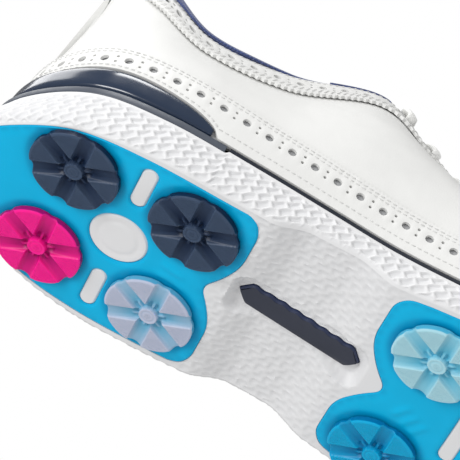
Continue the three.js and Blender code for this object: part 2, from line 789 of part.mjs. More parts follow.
function backstay() {
  return panel({
    from: -BACKSTAY_RIBS + SEAM,
    to: BACKSTAY_RIBS - SEAM,
    heights: even((rib) => mudguardHigh(rib) + GAP, top, 5),
    ...overlay,
  });
}

function collarFoam() {
  return panel({
    from: -COLLAR_RIBS,
    to: COLLAR_RIBS,
    heights: even((rib) => top(rib) - COLLAR_DEPTH + 1, (rib) => top(rib) - 1.5, 4),
    inside: (rib, height) => behindLeather - FOAM_EDGE - foamBulge(rib, height),
    outside: everywhere(behindLeather),
  });
}

function collarLining() {
  const outside = (rib, height) => behindLeather - FOAM_EDGE - GAP - foamBulge(rib, height);
  return panel({
    from: -COLLAR_RIBS,
    to: COLLAR_RIBS,
    heights: even((rib) => top(rib) - COLLAR_DEPTH, (rib) => top(rib) + COLLAR_ROLL * collarFade(rib), 6),
    inside: (rib, height) => outside(rib, height) - LINING,
    outside,
  });
}

// ---- Tongue ----

const TONGUE_FRONT_RIB = 10.4;
const TONGUE_TOP_RIB = 5.05;
const TONGUE_CROWN = 2.5;
const ACROSS_TONGUE = 8;

// A line across the tongue, under both facings, at a depth below the form.
function tongueLine(rib, depth) {
  const side = (r) => [formPoint(r, top(r) - TONGUE_TUCK, -depth), formPoint(r, top(r), -depth)];
  const outer = side(rib);
  const inner = side(ROUND - rib).reverse();
  const crown = outer[1].clone().lerp(inner[0], 0.5).addScaledVector(UP, TONGUE_CROWN);
  return new THREE.CatmullRomCurve3([...outer, crown, ...inner]).getSpacedPoints(ACROSS_TONGUE);
}

// The tongue's surface at a depth: under the throat, then free above the top eyelets.
function tongueGrid(depth) {
  const held = 12;
  const free = 4;
  const lines = Array.from({ length: held + 1 }, (_, k) =>
    tongueLine(THREE.MathUtils.lerp(TONGUE_FRONT_RIB, TONGUE_TOP_RIB, k / held), depth),
  );
  const last = lines.at(-1);
  const slope = last[ACROSS_TONGUE / 2].clone().sub(lines.at(-2)[ACROSS_TONGUE / 2]).normalize();
  const climb = slope.lerp(UP, 0.45).normalize();
  for (let k = 1; k <= free; k++) {
    const share = k / free;
    const middle = last[ACROSS_TONGUE / 2];
    const line = last.map((point) => {
      const narrowed = point.clone().lerp(middle, 0.3 * share ** 3);
      return narrowed.addScaledVector(climb, TONGUE_FREE * share);
    });
    lines.push(line);
  }
  return lines.reverse();
}

const tongueLayer = (depth, thickness) => sheet(tongueGrid(depth + thickness), tongueGrid(depth));

// ---- Lace ----

// The rib whose top point lies a given distance from the heel, on the outer side.
function throatRib(distance) {
  let near = TONGUE_TOP_RIB;
  let far = TOE;
  for (let k = 0; k < 40; k++) {
    const middle = (near + far) / 2;
    if (ribValue(middle, TOP_X) * LENGTH > distance) far = middle;
    else near = middle;
  }
  return near;
}
const THROAT_FRONT = ribValue(TOE, TOP_X) * LENGTH;
const EYELET_RIBS = Array.from({ length: EYELETS }, (_, k) =>
  throatRib(THROAT_FRONT - FIRST_EYELET - k * EYELET_PITCH),
);

// One lace in straight bars: over the tongue, down an eyelet, on under the facing to the next.
function lacePath() {
  const under = behindLeather - LINING - GAP - LACE_RADIUS;
  const over = UNDERLAY + OVERLAY + LACE_LIFT;
  const points = [];
  EYELET_RIBS.forEach((rib, row) => {
    const side = (r) => [
      formPoint(r, top(r) - EYELET_INSET, under),
      formPoint(r, top(r) - EYELET_INSET, behindLeather / 2),
      formPoint(r, top(r) - EYELET_INSET + 1, over),
      formPoint(r, top(r) - 1, over),
    ];
    const outer = side(rib);
    const inner = side(ROUND - rib).reverse();
    const crown = outer[3].clone().lerp(inner[0], 0.5).addScaledVector(UP, 1.5);
    const bar = [...outer, crown, ...inner];
    points.push(...(row % 2 ? bar.reverse() : bar));
  });
  return new THREE.CatmullRomCurve3(points, false, "centripetal");
}

function lace() {
  const section = new THREE.Shape(circle(0, 0, LACE_RADIUS, 8));
  return new THREE.ExtrudeGeometry(section, { steps: LACE_STEPS, extrudePath: lacePath() });
}

// A cylinder through every layer at each eyelet.
function eyeletTools() {
  return EYELET_RIBS.flatMap((rib) => [rib, ROUND - rib]).map((rib) => {
    const height = top(rib) - EYELET_INSET;
    const centre = formPoint(rib, height, 0);
    const axis = formPoint(rib, height, 1).sub(centre);
    const punch = new THREE.CylinderGeometry(EYELET_RADIUS, EYELET_RADIUS, 12, 6);
    punch.applyQuaternion(new THREE.Quaternion().setFromUnitVectors(new THREE.Vector3(0, 1, 0), axis));
    return punch.translate(centre.x, centre.y, centre.z);
  });
}
const eyeletPunches = eyeletTools();
const punched = (geometry) => geometryOf(cut(geometry, eyeletPunches));

// ---- Insole ----

const boardBottom = (rib) => featherPoint(rib).z - RAND_HEIGHT;
const layer = (out, bottom, thickness) =>
  slab([
    { out, z: (point, rib) => bottom(rib) },
    { out, z: (point, rib) => bottom(rib) + thickness },
  ]);

const insoleBoard = () => layer(everywhere(-RAND_INSIDE - GAP), boardBottom, BOARD_THICKNESS);

function sockliner() {
  const out = (rib) => liningOut(rib) - LINING - GAP - 0.2 - 2.4 * toeness(rib);
  return layer(out, (rib) => boardBottom(rib) + BOARD_THICKNESS + GAP + 0.3, SOCKLINER_THICKNESS);
}

function heelCushion() {
  const block = slab([
    { out: everywhere(-CUSHION_INSET), z: everywhere(CUSHION_FLOOR) },
    { out: everywhere(-CUSHION_INSET), z: (point, rib) => Math.max(soleTop(rib), CUSHION_FLOOR + 1) },
  ]);
  const bounds = plate(cushionOutline(-0.01), [], CUSHION_FLOOR - 1, SOLE_HEIGHT);
  return geometryOf(solid(block).intersect(solid(bounds)));
}

// ---- Assembly ----

const shoe = new THREE.Group();

function add(name, geometry, color, roughness = 0.6, metalness = 0) {
  const material = new THREE.MeshStandardMaterial({ color, roughness, metalness });
  const mesh = new THREE.Mesh(geometry, material);
  mesh.name = name;
  shoe.add(mesh);
}

add("outsole", outsole(), WHITE, 0.5);
add("heel_plate", cleatPlate(heelPlateOutline(), heelWindows(0), HEEL_CLEATS), BLUE, 0.3);
add("ball_plate", cleatPlate(ballPlateOutline(), ballWindows(0), BALL_CLEATS), BLUE, 0.3);
add("shank_bar", plate(barOutline(0), [], BAR_BOTTOM, BAR_THICKNESS), NAVY, 0.4);
for (const cleat of CLEATS) {
  add(`socket_${cleat.name}`, receptacle(cleat), NAVY, 0.5);
  add(`cleat_${cleat.name}`, cleatBody(cleat), cleat.color, 0.4);
}
add("heel_cushion", heelCushion(), FOAM, 0.9);
add("rand_strip", strip(shelfStart + SEAM, ROUND - shelfStart - SEAM, RAND_HEIGHT), NAVY, 0.4);
add("heel_shelf", strip(-shelfStart + 2 * SEAM, shelfStart - 2 * SEAM, SHELF_HEIGHT), NAVY, 0.4);
add("heel_clip", heelClip(), NAVY, 0.1);
add("insole_board", insoleBoard(), FIBRE, 0.9);
add("sockliner", sockliner(), LINING_BLUE, 0.9);
add("quarter_outer", punched(quarter(SEAM, VAMP_RIBS - SEAM)), WHITE);
add("quarter_inner", punched(quarter(ROUND - VAMP_RIBS + SEAM, ROUND - SEAM)), WHITE);
add("vamp", quarter(VAMP_RIBS + SEAM, ROUND - VAMP_RIBS - SEAM), WHITE);
add("mudguard", mudguard(), WHITE);
add("facing_outer", punched(facing(BACKSTAY_RIBS + SEAM, TOE - SEAM)), WHITE);
add("facing_inner", punched(facing(TOE + SEAM, ROUND - BACKSTAY_RIBS - SEAM)), WHITE);
add("backstay", backstay(), WHITE);
add("heel_lining", lining(-COLLAR_RIBS, COLLAR_RIBS, even(everywhere(GAP), heelLiningTop, 4)), LINING_BLUE, 0.9);
add(
  "forepart_lining",
  lining(COLLAR_RIBS + SEAM, ROUND - COLLAR_RIBS - SEAM, graded(0, FORM_ROWS - 1)),
  LINING_BLUE,
  0.9,
);
add("collar_foam", collarFoam(), FOAM, 0.9);
add("collar_lining", collarLining(), LINING_BLUE, 0.9);
add("heel_counter", stiffener(-COUNTER_RIBS, COUNTER_RIBS, even(everywhere(2), counterTop, 3)), FIBRE, 0.8);
add("toe_puff", stiffener(TOE - PUFF_RIBS, TOE + PUFF_RIBS, graded(1, 3)), FIBRE, 0.8);
add("tongue", tongueLayer(TONGUE_DEPTH, TONGUE_LEATHER), WHITE);
add("tongue_pad", tongueLayer(TONGUE_DEPTH + TONGUE_LEATHER + GAP, TONGUE_FOAM), LINING_BLUE, 0.9);
add("lace", lace(), WHITE, 0.8);

const bounds = new THREE.Box3().setFromObject(shoe);
const centre = bounds.getCenter(new THREE.Vector3());
shoe.position.set(-centre.x, -centre.y, -bounds.min.z);
const golfShoe = new THREE.Group().add(shoe);

export default golfShoe;
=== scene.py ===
import json
import math

import bpy
import numpy as np
from mathutils import Matrix, Vector, geometry


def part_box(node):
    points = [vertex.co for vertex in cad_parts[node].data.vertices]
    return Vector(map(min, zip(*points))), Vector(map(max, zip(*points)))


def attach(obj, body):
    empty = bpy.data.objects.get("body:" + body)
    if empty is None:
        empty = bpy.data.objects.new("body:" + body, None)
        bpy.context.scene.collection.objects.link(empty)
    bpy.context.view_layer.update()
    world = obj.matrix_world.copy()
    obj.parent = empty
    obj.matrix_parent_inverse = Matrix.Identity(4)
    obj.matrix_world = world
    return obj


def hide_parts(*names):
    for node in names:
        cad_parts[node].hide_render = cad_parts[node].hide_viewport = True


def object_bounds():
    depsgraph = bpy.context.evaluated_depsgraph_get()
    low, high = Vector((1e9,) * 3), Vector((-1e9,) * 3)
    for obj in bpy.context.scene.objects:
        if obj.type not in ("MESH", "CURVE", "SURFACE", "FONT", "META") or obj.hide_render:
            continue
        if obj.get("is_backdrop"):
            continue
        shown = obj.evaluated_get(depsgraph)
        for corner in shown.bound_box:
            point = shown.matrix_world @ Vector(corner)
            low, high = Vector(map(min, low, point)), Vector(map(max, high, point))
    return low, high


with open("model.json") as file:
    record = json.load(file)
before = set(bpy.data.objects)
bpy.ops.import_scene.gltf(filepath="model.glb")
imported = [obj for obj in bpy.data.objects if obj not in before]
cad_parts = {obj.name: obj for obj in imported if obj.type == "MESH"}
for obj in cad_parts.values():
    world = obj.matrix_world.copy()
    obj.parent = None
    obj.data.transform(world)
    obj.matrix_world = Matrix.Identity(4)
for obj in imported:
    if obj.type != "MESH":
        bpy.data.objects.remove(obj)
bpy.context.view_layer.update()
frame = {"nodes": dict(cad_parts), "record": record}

# A right golf shoe. Sizes are millimetres in the shoe's own frame: x from the heel to the toe,
# y to the inner side of the foot, z up from the floor. Meshes are moved to the row frame at the end.

MM = 0.001

CLEATS = {  # name: x, y, finish
    "heel_rear_outer": (36.5, -18.1, "navy"),
    "heel_rear_inner": (36.5, 18.1, "pink"),
    "heel_front_outer": (74.9, -20.2, "navy"),
    "heel_front_inner": (74.9, 20.2, "lilac"),
    "ball_rear_outer": (153.8, -23.1, "aqua"),
    "ball_rear_inner": (152.2, 24.8, "blue"),
    "ball_middle_outer": (188, -29, "navy"),
    "ball_middle_inner": (188, 29, "lilac"),
    "ball_front_outer": (222, -23, "pink"),
    "ball_front_inner": (222, 27, "aqua"),
}
CLEAT_RADIUS = 14.0
low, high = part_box("cleat_heel_rear_outer")
SHIFT = np.array([
    (low.x + high.x) / 2 / MM - CLEATS["heel_rear_outer"][0],
    (low.y + high.y) / 2 / MM - CLEATS["heel_rear_outer"][1],
    0.0,
])

# ---- The foot form: the same rule as the frame's source ----

LENGTH, WIDTH, SOLE_HEIGHT, UPPER_HEIGHT, GAP = 298.0, 104.0, 22.0, 75.0, 0.3
LEATHER, OVERLAY, UNDERLAY, LINING, STIFFENER = 1.4, 1.2, 0.45, 1.0, 1.2
BEHIND = -LEATHER - GAP
RIBS = np.array([
    [0.034, 0.01, 1.0, 0.049, 0.01, 1.0, -14, 4], [0.054, -0.149, 0.99, 0.066, -0.12, 0.963, -4, 0],
    [0.107, -0.297, 0.964, 0.107, -0.202, 0.78, 14, -5], [0.181, -0.355, 0.918, 0.168, -0.243, 0.608, 27, -8],
    [0.275, -0.365, 0.877, 0.255, -0.24, 0.665, 30, -8], [0.356, -0.37, 0.818, 0.346, -0.202, 0.887, 38, -8],
    [0.436, -0.388, 0.705, 0.399, -0.163, 0.84, 50, -8], [0.53, -0.432, 0.6, 0.477, -0.125, 0.723, 58, -8],
    [0.631, -0.47, 0.56, 0.554, -0.101, 0.613, 65, -8], [0.738, -0.46, 0.57, 0.607, -0.077, 0.537, 75, -8],
    [0.848, -0.38, 0.659, 0.628, -0.048, 0.487, 82, -7], [0.944, -0.225, 0.841, 0.634, -0.019, 0.427, 86, -6],
    [0.987, 0.058, 0.955, 0.636, 0.019, 0.391, 88, -5], [0.957, 0.292, 0.864, 0.634, 0.058, 0.42, 86, -6],
    [0.868, 0.442, 0.691, 0.628, 0.091, 0.477, 82, -7], [0.755, 0.499, 0.575, 0.607, 0.12, 0.535, 75, -8],
    [0.648, 0.475, 0.56, 0.554, 0.144, 0.613, 65, -8], [0.544, 0.405, 0.6, 0.477, 0.159, 0.723, 58, -8],
    [0.436, 0.349, 0.705, 0.399, 0.188, 0.84, 50, -8], [0.356, 0.342, 0.818, 0.346, 0.221, 0.887, 38, -8],
    [0.275, 0.368, 0.877, 0.255, 0.26, 0.665, 30, -8], [0.181, 0.375, 0.918, 0.168, 0.262, 0.608, 27, -8],
    [0.107, 0.317, 0.964, 0.107, 0.221, 0.78, 14, -5], [0.054, 0.169, 0.99, 0.066, 0.139, 0.963, -4, 0],
])
ROUND, TOE = 24, 12
UP = np.array([0.0, 0.0, 1.0])


def arr(value):
    return np.asarray(value, float)


def unit(v):
    return v / np.maximum(np.linalg.norm(v, axis=-1, keepdims=True), 1e-12)


def bump(value, middle, width):
    return np.exp(-(((arr(value) - middle) / width) ** 2))


def smooth(value, start, end):
    t = np.clip((arr(value) - start) / (end - start), 0, 1)
    return t * t * (3 - 2 * t)


def mix(a, b, t):
    return a + (b - a) * t


def cubic(a, b, slope_a, slope_b, t):
    """A curve from a to b that leaves and arrives with the given slopes."""
    return ((2 * t**3 - 3 * t**2 + 1) * a + (t**3 - 2 * t**2 + t) * slope_a
            + (3 * t**2 - 2 * t**3) * b + (t**3 - t**2) * slope_b)


def travelled(points):
    """Distances along a line of points, from its first one."""
    return np.concatenate([[0], np.cumsum(np.linalg.norm(np.diff(points, axis=0), axis=1))])


def rib_value(rib, key):
    """A column of the table at any rib, on a smooth closed curve."""
    at = np.mod(arr(rib), ROUND)
    k = np.floor(at).astype(int)
    t = at - k
    a, b, c, d = (RIBS[(k + step) % ROUND, key] for step in (-1, 0, 1, 2))
    slope_in, slope_out = (c - a) / 2, (d - b) / 2
    bend = 2 * b - 2 * c + slope_in + slope_out
    turn = -3 * b + 3 * c - 2 * slope_in - slope_out
    return b + t * (slope_in + t * (turn + t * bend))


def feather(rib):
    scales = (LENGTH, WIDTH, SOLE_HEIGHT)
    return np.stack([rib_value(rib, key) * scale for key, scale in enumerate(scales)], -1)


def outward(rib):
    along = feather(arr(rib) + 0.05) - feather(arr(rib) - 0.05)
    return unit(np.stack([along[..., 1], -along[..., 0], np.zeros_like(along[..., 0])], -1))


FINE = 64  # looked-up ribs for each rib of the table
SHARES = 129  # looked-up points on each


def form_table():
    ribs = np.arange(ROUND * FINE) / FINE
    foot = feather(ribs)
    rise = rib_value(ribs, 5) * UPPER_HEIGHT
    top = np.stack([rib_value(ribs, 3) * LENGTH, rib_value(ribs, 4) * WIDTH, foot[:, 2] + rise], -1)
    flat = (top - foot) * np.array([1.0, 1.0, 0.0])
    inward = unit(flat)
    lean, foot_lean = (np.radians(rib_value(ribs, key))[:, None] for key in (6, 7))
    flatness = np.maximum(0, np.sin(lean))
    low_reach = rise[:, None] * (0.4 + 0.22 * flatness)
    high_reach = np.linalg.norm(foot - top, axis=1)[:, None] * (0.3 + 0.18 * flatness)
    low_knot = foot + (inward * np.sin(foot_lean) + UP * np.cos(foot_lean)) * low_reach
    high_knot = top - (inward * np.sin(lean) + UP * np.cos(lean)) * high_reach
    t = np.linspace(0, 1, 321)[None, :, None]
    knots = [p[:, None, :] for p in (foot, low_knot, high_knot, top)]
    curve = ((1 - t) ** 3 * knots[0] + 3 * (1 - t) ** 2 * t * knots[1]
             + 3 * (1 - t) * t**2 * knots[2] + t**3 * knots[3])
    steps = np.linalg.norm(np.diff(curve, axis=1), axis=2)
    along = np.concatenate([np.zeros((len(ribs), 1)), np.cumsum(steps, 1)], 1)
    lengths = along[:, -1]
    even = np.linspace(0, 1, SHARES)
    points = np.empty((len(ribs), SHARES, 3))
    for k in range(len(ribs)):
        for axis in range(3):
            points[k, :, axis] = np.interp(even * lengths[k], along[k], curve[k, :, axis])
    sideways = np.roll(points, -1, 0) - np.roll(points, 1, 0)
    normals = unit(np.cross(sideways, np.gradient(points, axis=1)))
    return points, normals, lengths


POINTS, NORMALS, LENGTHS = form_table()


def top(rib):
    """Length of a rib from the feather edge to the top edge."""
    at = np.mod(arr(rib), ROUND) * FINE
    k = np.floor(at).astype(int)
    return mix(LENGTHS[k % len(LENGTHS)], LENGTHS[(k + 1) % len(LENGTHS)], at - k)


def form(rib, height, out=0.0):
    """Points of the foot form moved out of it by a distance."""
    rib, height, out = np.broadcast_arrays(arr(rib), arr(height), arr(out))
    at = np.mod(rib, ROUND) * FINE
    k = np.floor(at).astype(int)
    share = height / top(rib)
    row = np.clip(share, 0, 1) * (SHARES - 1)
    j = np.minimum(np.floor(row).astype(int), SHARES - 2)
    u, v = (at - k)[..., None], (row - j)[..., None]
    a, b = k % len(LENGTHS), (k + 1) % len(LENGTHS)

    def look(table):
        return mix(mix(table[a, j], table[b, j], u), mix(table[a, j + 1], table[b, j + 1], u), v)

    climb = unit(mix(POINTS[a, j + 1] - POINTS[a, j], POINTS[b, j + 1] - POINTS[b, j], u))
    beyond = (np.maximum(share - 1, 0) * top(rib))[..., None]
    return look(POINTS) + climb * beyond + unit(look(NORMALS)) * out[..., None]


def form_normal(rib, height):
    return unit(form(rib, height, 1.0) - form(rib, height, 0.0))


def per_rib(rib, height):
    """Millimetres along the form for one rib, at a place."""
    return np.linalg.norm(form(arr(rib) + 0.02, height) - form(arr(rib) - 0.02, height), axis=-1) / 0.04


def bisect(near, far, beyond):
    """The rib between two where a test turns true."""
    for _ in range(40):
        middle = (near + far) / 2
        near, far = (near, middle) if beyond(middle) else (middle, far)
    return near


def rib_at(distance, inner=False):
    """The rib at a distance from the heel, on the outer or the inner side."""
    near, far = (TOE, ROUND) if inner else (0.0, TOE)
    return bisect(near, far, lambda rib: (feather(rib)[0] > distance) != inner)


def from_heel(rib):
    at = np.mod(arr(rib), ROUND)
    return np.minimum(at, ROUND - at)


# ---- Materials: all from nodes ----


def srgb(r, g, b):
    return [((c / 255 + 0.055) / 1.055) ** 2.4 if c > 10 else c / 255 / 12.92 for c in (r, g, b)]


class Tree:
    """The node tree of a material or a world."""

    def __init__(self, owner):
        owner.use_nodes = True
        self.nodes, self.links = owner.node_tree.nodes, owner.node_tree.links

    def node(self, kind, inputs=None, **settings):
        made = self.nodes.new(kind)
        for key, value in settings.items():
            setattr(made, key, value)
        for key, value in (inputs or {}).items():
            if isinstance(value, bpy.types.NodeSocket):
                self.links.new(value, made.inputs[key])
            else:
                made.inputs[key].default_value = value
        return made


class Finish(Tree):
    """A Principled material and the nodes that give it its variation and relief."""

    def __init__(self, name, **constants):
        self.material = bpy.data.materials.new(name)
        super().__init__(self.material)
        self.shader = self.nodes["Principled BSDF"]
        self.place = self.nodes.new("ShaderNodeTexCoord").outputs["Object"]
        self.relief = None
        for key, value in constants.items():
            self.shader.inputs[key.replace("_", " ")].default_value = value

    def noise(self, size, detail=3.0, rough=0.5, stretch=None):
        place = self.place
        if stretch:
            place = self.node("ShaderNodeMapping", {"Vector": place, "Scale": stretch}).outputs[0]
        return self.node("ShaderNodeTexNoise", {
            "Vector": place, "Scale": 1 / (size * MM), "Detail": detail, "Roughness": rough}).outputs["Fac"]

    def cells(self, size, feature="F1", output="Distance"):
        return self.node("ShaderNodeTexVoronoi", {"Vector": self.place, "Scale": 1 / (size * MM)},
                         feature=feature).outputs[output]

    def weave(self, pitch, tilt=0.785):
        """Crossing threads about the size of pitch, the same from every side."""
        waves = []
        for turn in ((0.3, tilt, 0.2), (0.3, tilt - 1.5708, 0.2)):
            place = self.node("ShaderNodeMapping", {"Vector": self.place, "Rotation": turn}).outputs[0]
            made = self.node("ShaderNodeTexWave", {"Vector": place, "Scale": 0.314 / (pitch * MM)})
            waves.append(made.outputs["Fac"])
        return self.node("ShaderNodeMath", {0: waves[0], 1: waves[1]}, operation="MULTIPLY").outputs[0]

    def attribute(self, name):
        return self.node("ShaderNodeAttribute", attribute_name=name).outputs["Fac"]

    def range(self, value, low, high, start=0.3, end=0.7):
        return self.node("ShaderNodeMapRange", {
            "Value": value, "From Min": start, "From Max": end, "To Min": low, "To Max": high}).outputs[0]

    def blend(self, factor, a, b):
        made = self.node("ShaderNodeMix", data_type="RGBA")
        for key, value in ((0, factor), (6, a), (7, b)):
            if isinstance(value, bpy.types.NodeSocket):
                self.links.new(value, made.inputs[key])
            else:
                made.inputs[key].default_value = value if key == 0 else [*value, 1]
        return made.outputs[2]

    def color(self, socket):
        self.links.new(socket, self.shader.inputs["Base Color"])
        return self

    def rough(self, socket):
        self.links.new(socket, self.shader.inputs["Roughness"])
        return self

    def bump(self, height, depth):
        """Relief of about the given depth in millimetres, on top of what is there."""
        inputs = {"Height": height, "Strength": 1.0, "Distance": depth * MM}
        if self.relief:
            inputs["Normal"] = self.relief
        self.relief = self.node("ShaderNodeBump", inputs).outputs[0]
        self.links.new(self.relief, self.shader.inputs["Normal"])
        return self


def leather_finish(name, base, dark):
    f = Finish(name, Specular_IOR_Level=0.45, Coat_Weight=0.05, Coat_Roughness=0.4)
    creases = f.cells(0.75, "DISTANCE_TO_EDGE")
    tone = f.blend(f.range(f.noise(14, 2), 0, 1), base, [c * 0.955 for c in base])
    # Painted shade: a little darker along the grain's creases, which the bump also sinks.
    tone = f.blend(f.range(creases, 0.10, 0.0, 0.0, 0.06), tone, [c * 0.8 for c in base])
    # Painted shade: the dark colour under the overlays, seen through their holes.
    tone = f.blend(f.attribute("overlay_shade"), tone, dark)
    f.color(tone).rough(f.range(f.noise(3, 3), 0.42, 0.56))
    f.bump(f.noise(5, 4), 0.10).bump(f.range(f.cells(0.55), 0, 1, 0.0, 0.5), 0.02).bump(creases, 0.03)
    return f.material


def moulded_finish(name, base, roughness, vary=0.05, grain=0.02, shade=None, **constants):
    f = Finish(name, **constants)
    tone = f.blend(f.range(f.noise(9, 3), 0, 1), base, [c * (1 - vary) for c in base])
    tone = f.blend(f.range(f.noise(0.7, 2), 0, 0.35), tone, [c * (1 - vary) for c in base])
    # Painted shade: the colour turns towards the shade colour where the mesh's shade attribute rises.
    if shade:
        tone = f.blend(f.attribute("shade"), tone, shade)
    f.color(tone).rough(f.range(f.noise(2.5, 3), roughness * 0.9, roughness * 1.15))
    f.bump(f.noise(1.1, 4), grain)
    return f.material


def fabric_finish(name, base, pitch, depth, dark=0.45, **constants):
    f = Finish(name, Roughness=0.85, **constants)
    threads = f.weave(pitch)
    # Painted shade: darker between the threads, down to the dark share of the colour.
    tone = f.blend(f.range(threads, 0, 1, 0.05, 0.6), [c * dark for c in base], base)
    tone = f.blend(f.range(f.noise(7, 3), 0, 0.3), tone, [min(1, c * 1.5 + 0.01) for c in base])
    f.color(tone).bump(threads, depth).bump(f.noise(0.25, 2), depth * 0.5)
    return f.material


def foam_finish(name, base):
    f = Finish(name, Roughness=0.9)
    # Painted shade: darker in the pores that the bump sinks.
    f.color(f.blend(f.range(f.cells(0.8), 0, 1, 0, 0.6), [c * 0.7 for c in base], base))
    return f.bump(f.cells(0.8), 0.2).material


def board_finish(name, base):
    f = Finish(name, Roughness=0.8)
    fibres = f.noise(1.2, 5, 0.7, (1, 0.15, 1))
    f.color(f.blend(f.range(fibres, 0, 1), base, [c * 0.65 for c in base]))
    return f.bump(fibres, 0.08).material


SOFT = {"Subsurface_Weight": 0.25, "Subsurface_Radius": (0.002, 0.002, 0.002), "Subsurface_Scale": 1.0}
CLEAT_COLORS = {  # colour, and the painted shade colour of its grooves, by their depth, and of its side and back
    "navy": (srgb(62, 78, 102), srgb(16, 34, 62)),
    "pink": (srgb(255, 22, 146), srgb(168, 0, 106)),
    "lilac": (srgb(186, 193, 214), srgb(92, 172, 204)),
    "aqua": (srgb(170, 216, 228), srgb(84, 182, 212)),
    "blue": (srgb(0, 168, 216), srgb(0, 118, 170)),
}
FINISHES = {
    # upper leather: its colour, and the painted shade under the overlays
    "upper_leather": leather_finish("upper_leather", srgb(229, 229, 227), srgb(190, 191, 193)),
    "thread": fabric_finish("thread", srgb(216, 216, 214), 0.35, 0.03, dark=0.8),
    "sole_white": moulded_finish("sole_white", srgb(227, 227, 228), 0.5, 0.02, 0.015, srgb(206, 207, 210)),
    "plate_blue": moulded_finish("plate_blue", srgb(0, 182, 230), 0.34, 0.06, 0.01, srgb(0, 128, 180),
                                 Specular_IOR_Level=0.2),
    "bar_navy": moulded_finish("bar_navy", srgb(60, 64, 78), 0.5, 0.1, 0.02, srgb(38, 50, 84)),
    "rand_navy": moulded_finish("rand_navy", srgb(38, 44, 56), 0.4, 0.1, 0.02),
    "shelf_navy": moulded_finish("shelf_navy", srgb(82, 88, 99), 0.34, 0.08, 0.02),
    "clip_navy": moulded_finish("clip_navy", srgb(36, 50, 72), 0.2, 0.05, 0.0,
                                Coat_Weight=1.0, Coat_Roughness=0.12),
    "socket_plastic": moulded_finish("socket_plastic", srgb(40, 44, 52), 0.5),
    "lining_fabric": fabric_finish("lining_fabric", srgb(56, 74, 130), 0.8, 0.12, Sheen_Weight=0.4),
    "sockliner_fabric": fabric_finish("sockliner_fabric", srgb(44, 56, 96), 1.1, 0.15, Sheen_Weight=0.3),
    "lace_fabric": fabric_finish("lace_fabric", srgb(238, 238, 235), 0.7, 0.06, dark=0.82),
    "padding_foam": foam_finish("padding_foam", srgb(214, 208, 194)),
    "cushion_foam": foam_finish("cushion_foam", srgb(222, 221, 214)),
    "fibreboard": board_finish("fibreboard", srgb(168, 154, 128)),
    "stiffener_board": board_finish("stiffener_board", srgb(168, 158, 136)),
}
for color, (base, deep) in CLEAT_COLORS.items():
    FINISHES["cleat_" + color] = moulded_finish("cleat_" + color, base, 0.36, 0.05, 0.012, deep,
                                                Specular_IOR_Level=0.28, **SOFT)

# ---- Meshes ----


def piece(name, points, faces, slot, *nodes, body="shoe", finish=None, attributes=None, sharp=35):
    """A mesh from points in millimetres of the shoe's frame, riding on its body."""
    if name in frame["nodes"]:
        name += "_made"
    mesh = bpy.data.meshes.new(name)
    mesh.from_pydata(((arr(points) + SHIFT) * MM).tolist(), [], [list(map(int, f)) for f in faces])
    mesh.validate()
    for key, values in (attributes or {}).items():
        mesh.attributes.new(key, "FLOAT", "POINT").data.foreach_set("value", arr(values).astype(np.float32))
    mesh.polygons.foreach_set("use_smooth", np.ones(len(mesh.polygons), bool))
    if sharp:
        mesh.set_sharp_from_angle(angle=math.radians(sharp))
    mesh.materials.append(FINISHES[finish or slot])
    made = bpy.data.objects.new(name, mesh)
    bpy.context.scene.collection.objects.link(made)
    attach(made, body)
    if nodes:
        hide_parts(*nodes)
    return made


def grid_faces(rows, columns, wrap_rows=False, wrap_columns=False, start=0):
    r = np.arange(rows if wrap_rows else rows - 1)
    c = np.arange(columns if wrap_columns else columns - 1)
    i, j = np.meshgrid(r, c, indexing="ij")
    i2, j2 = (i + 1) % rows, (j + 1) % columns
    at = lambda a, b: (a * columns + b + start).ravel()
    return np.stack([at(i, j), at(i2, j), at(i2, j2), at(i, j2)], 1)


def tube(sections, closed=False):
    """Faces of closed sections (n, m, 3) swept one after another, with flat ends."""
    n, m = sections.shape[:2]
    faces = grid_faces(n, m, closed, True).tolist()
    if not closed:
        faces += [list(range(m)), list(range((n - 1) * m, n * m))[::-1]]
    return sections.reshape(-1, 3), faces


def inside(points, loop):
    """Which points lie inside a closed loop."""
    x, y = points.T
    result = np.zeros(len(points), bool)
    for (x1, y1), (x2, y2) in zip(loop, np.roll(loop, -1, 0)):
        if y1 != y2:
            result ^= ((y1 > y) != (y2 > y)) & (x < (x2 - x1) * (y - y1) / (y2 - y1) + x1)
    return result


def outside(points, loop):
    """Which points don't lie inside a small loop."""
    near = np.flatnonzero(np.all((points >= loop.min(0)) & (points <= loop.max(0)), 1))
    result = np.ones(len(points), bool)
    result[near] = ~inside(points[near], loop)
    return result


def clear_of(points, others, distance):
    """Which points lie further than a distance from all the others, which are sorted into squares."""
    squares = {}
    for p in others:
        squares.setdefault((int(p[0] // distance), int(p[1] // distance)), []).append(p)
    result = np.ones(len(points), bool)
    for n, (x, y) in enumerate(points):
        i, j = int(x // distance), int(y // distance)
        around = [p for a in (i - 1, i, i + 1) for b in (j - 1, j, j + 1) for p in squares.get((a, b), ())]
        result[n] = all((p[0] - x) ** 2 + (p[1] - y) ** 2 >= distance**2 for p in around)
    return result


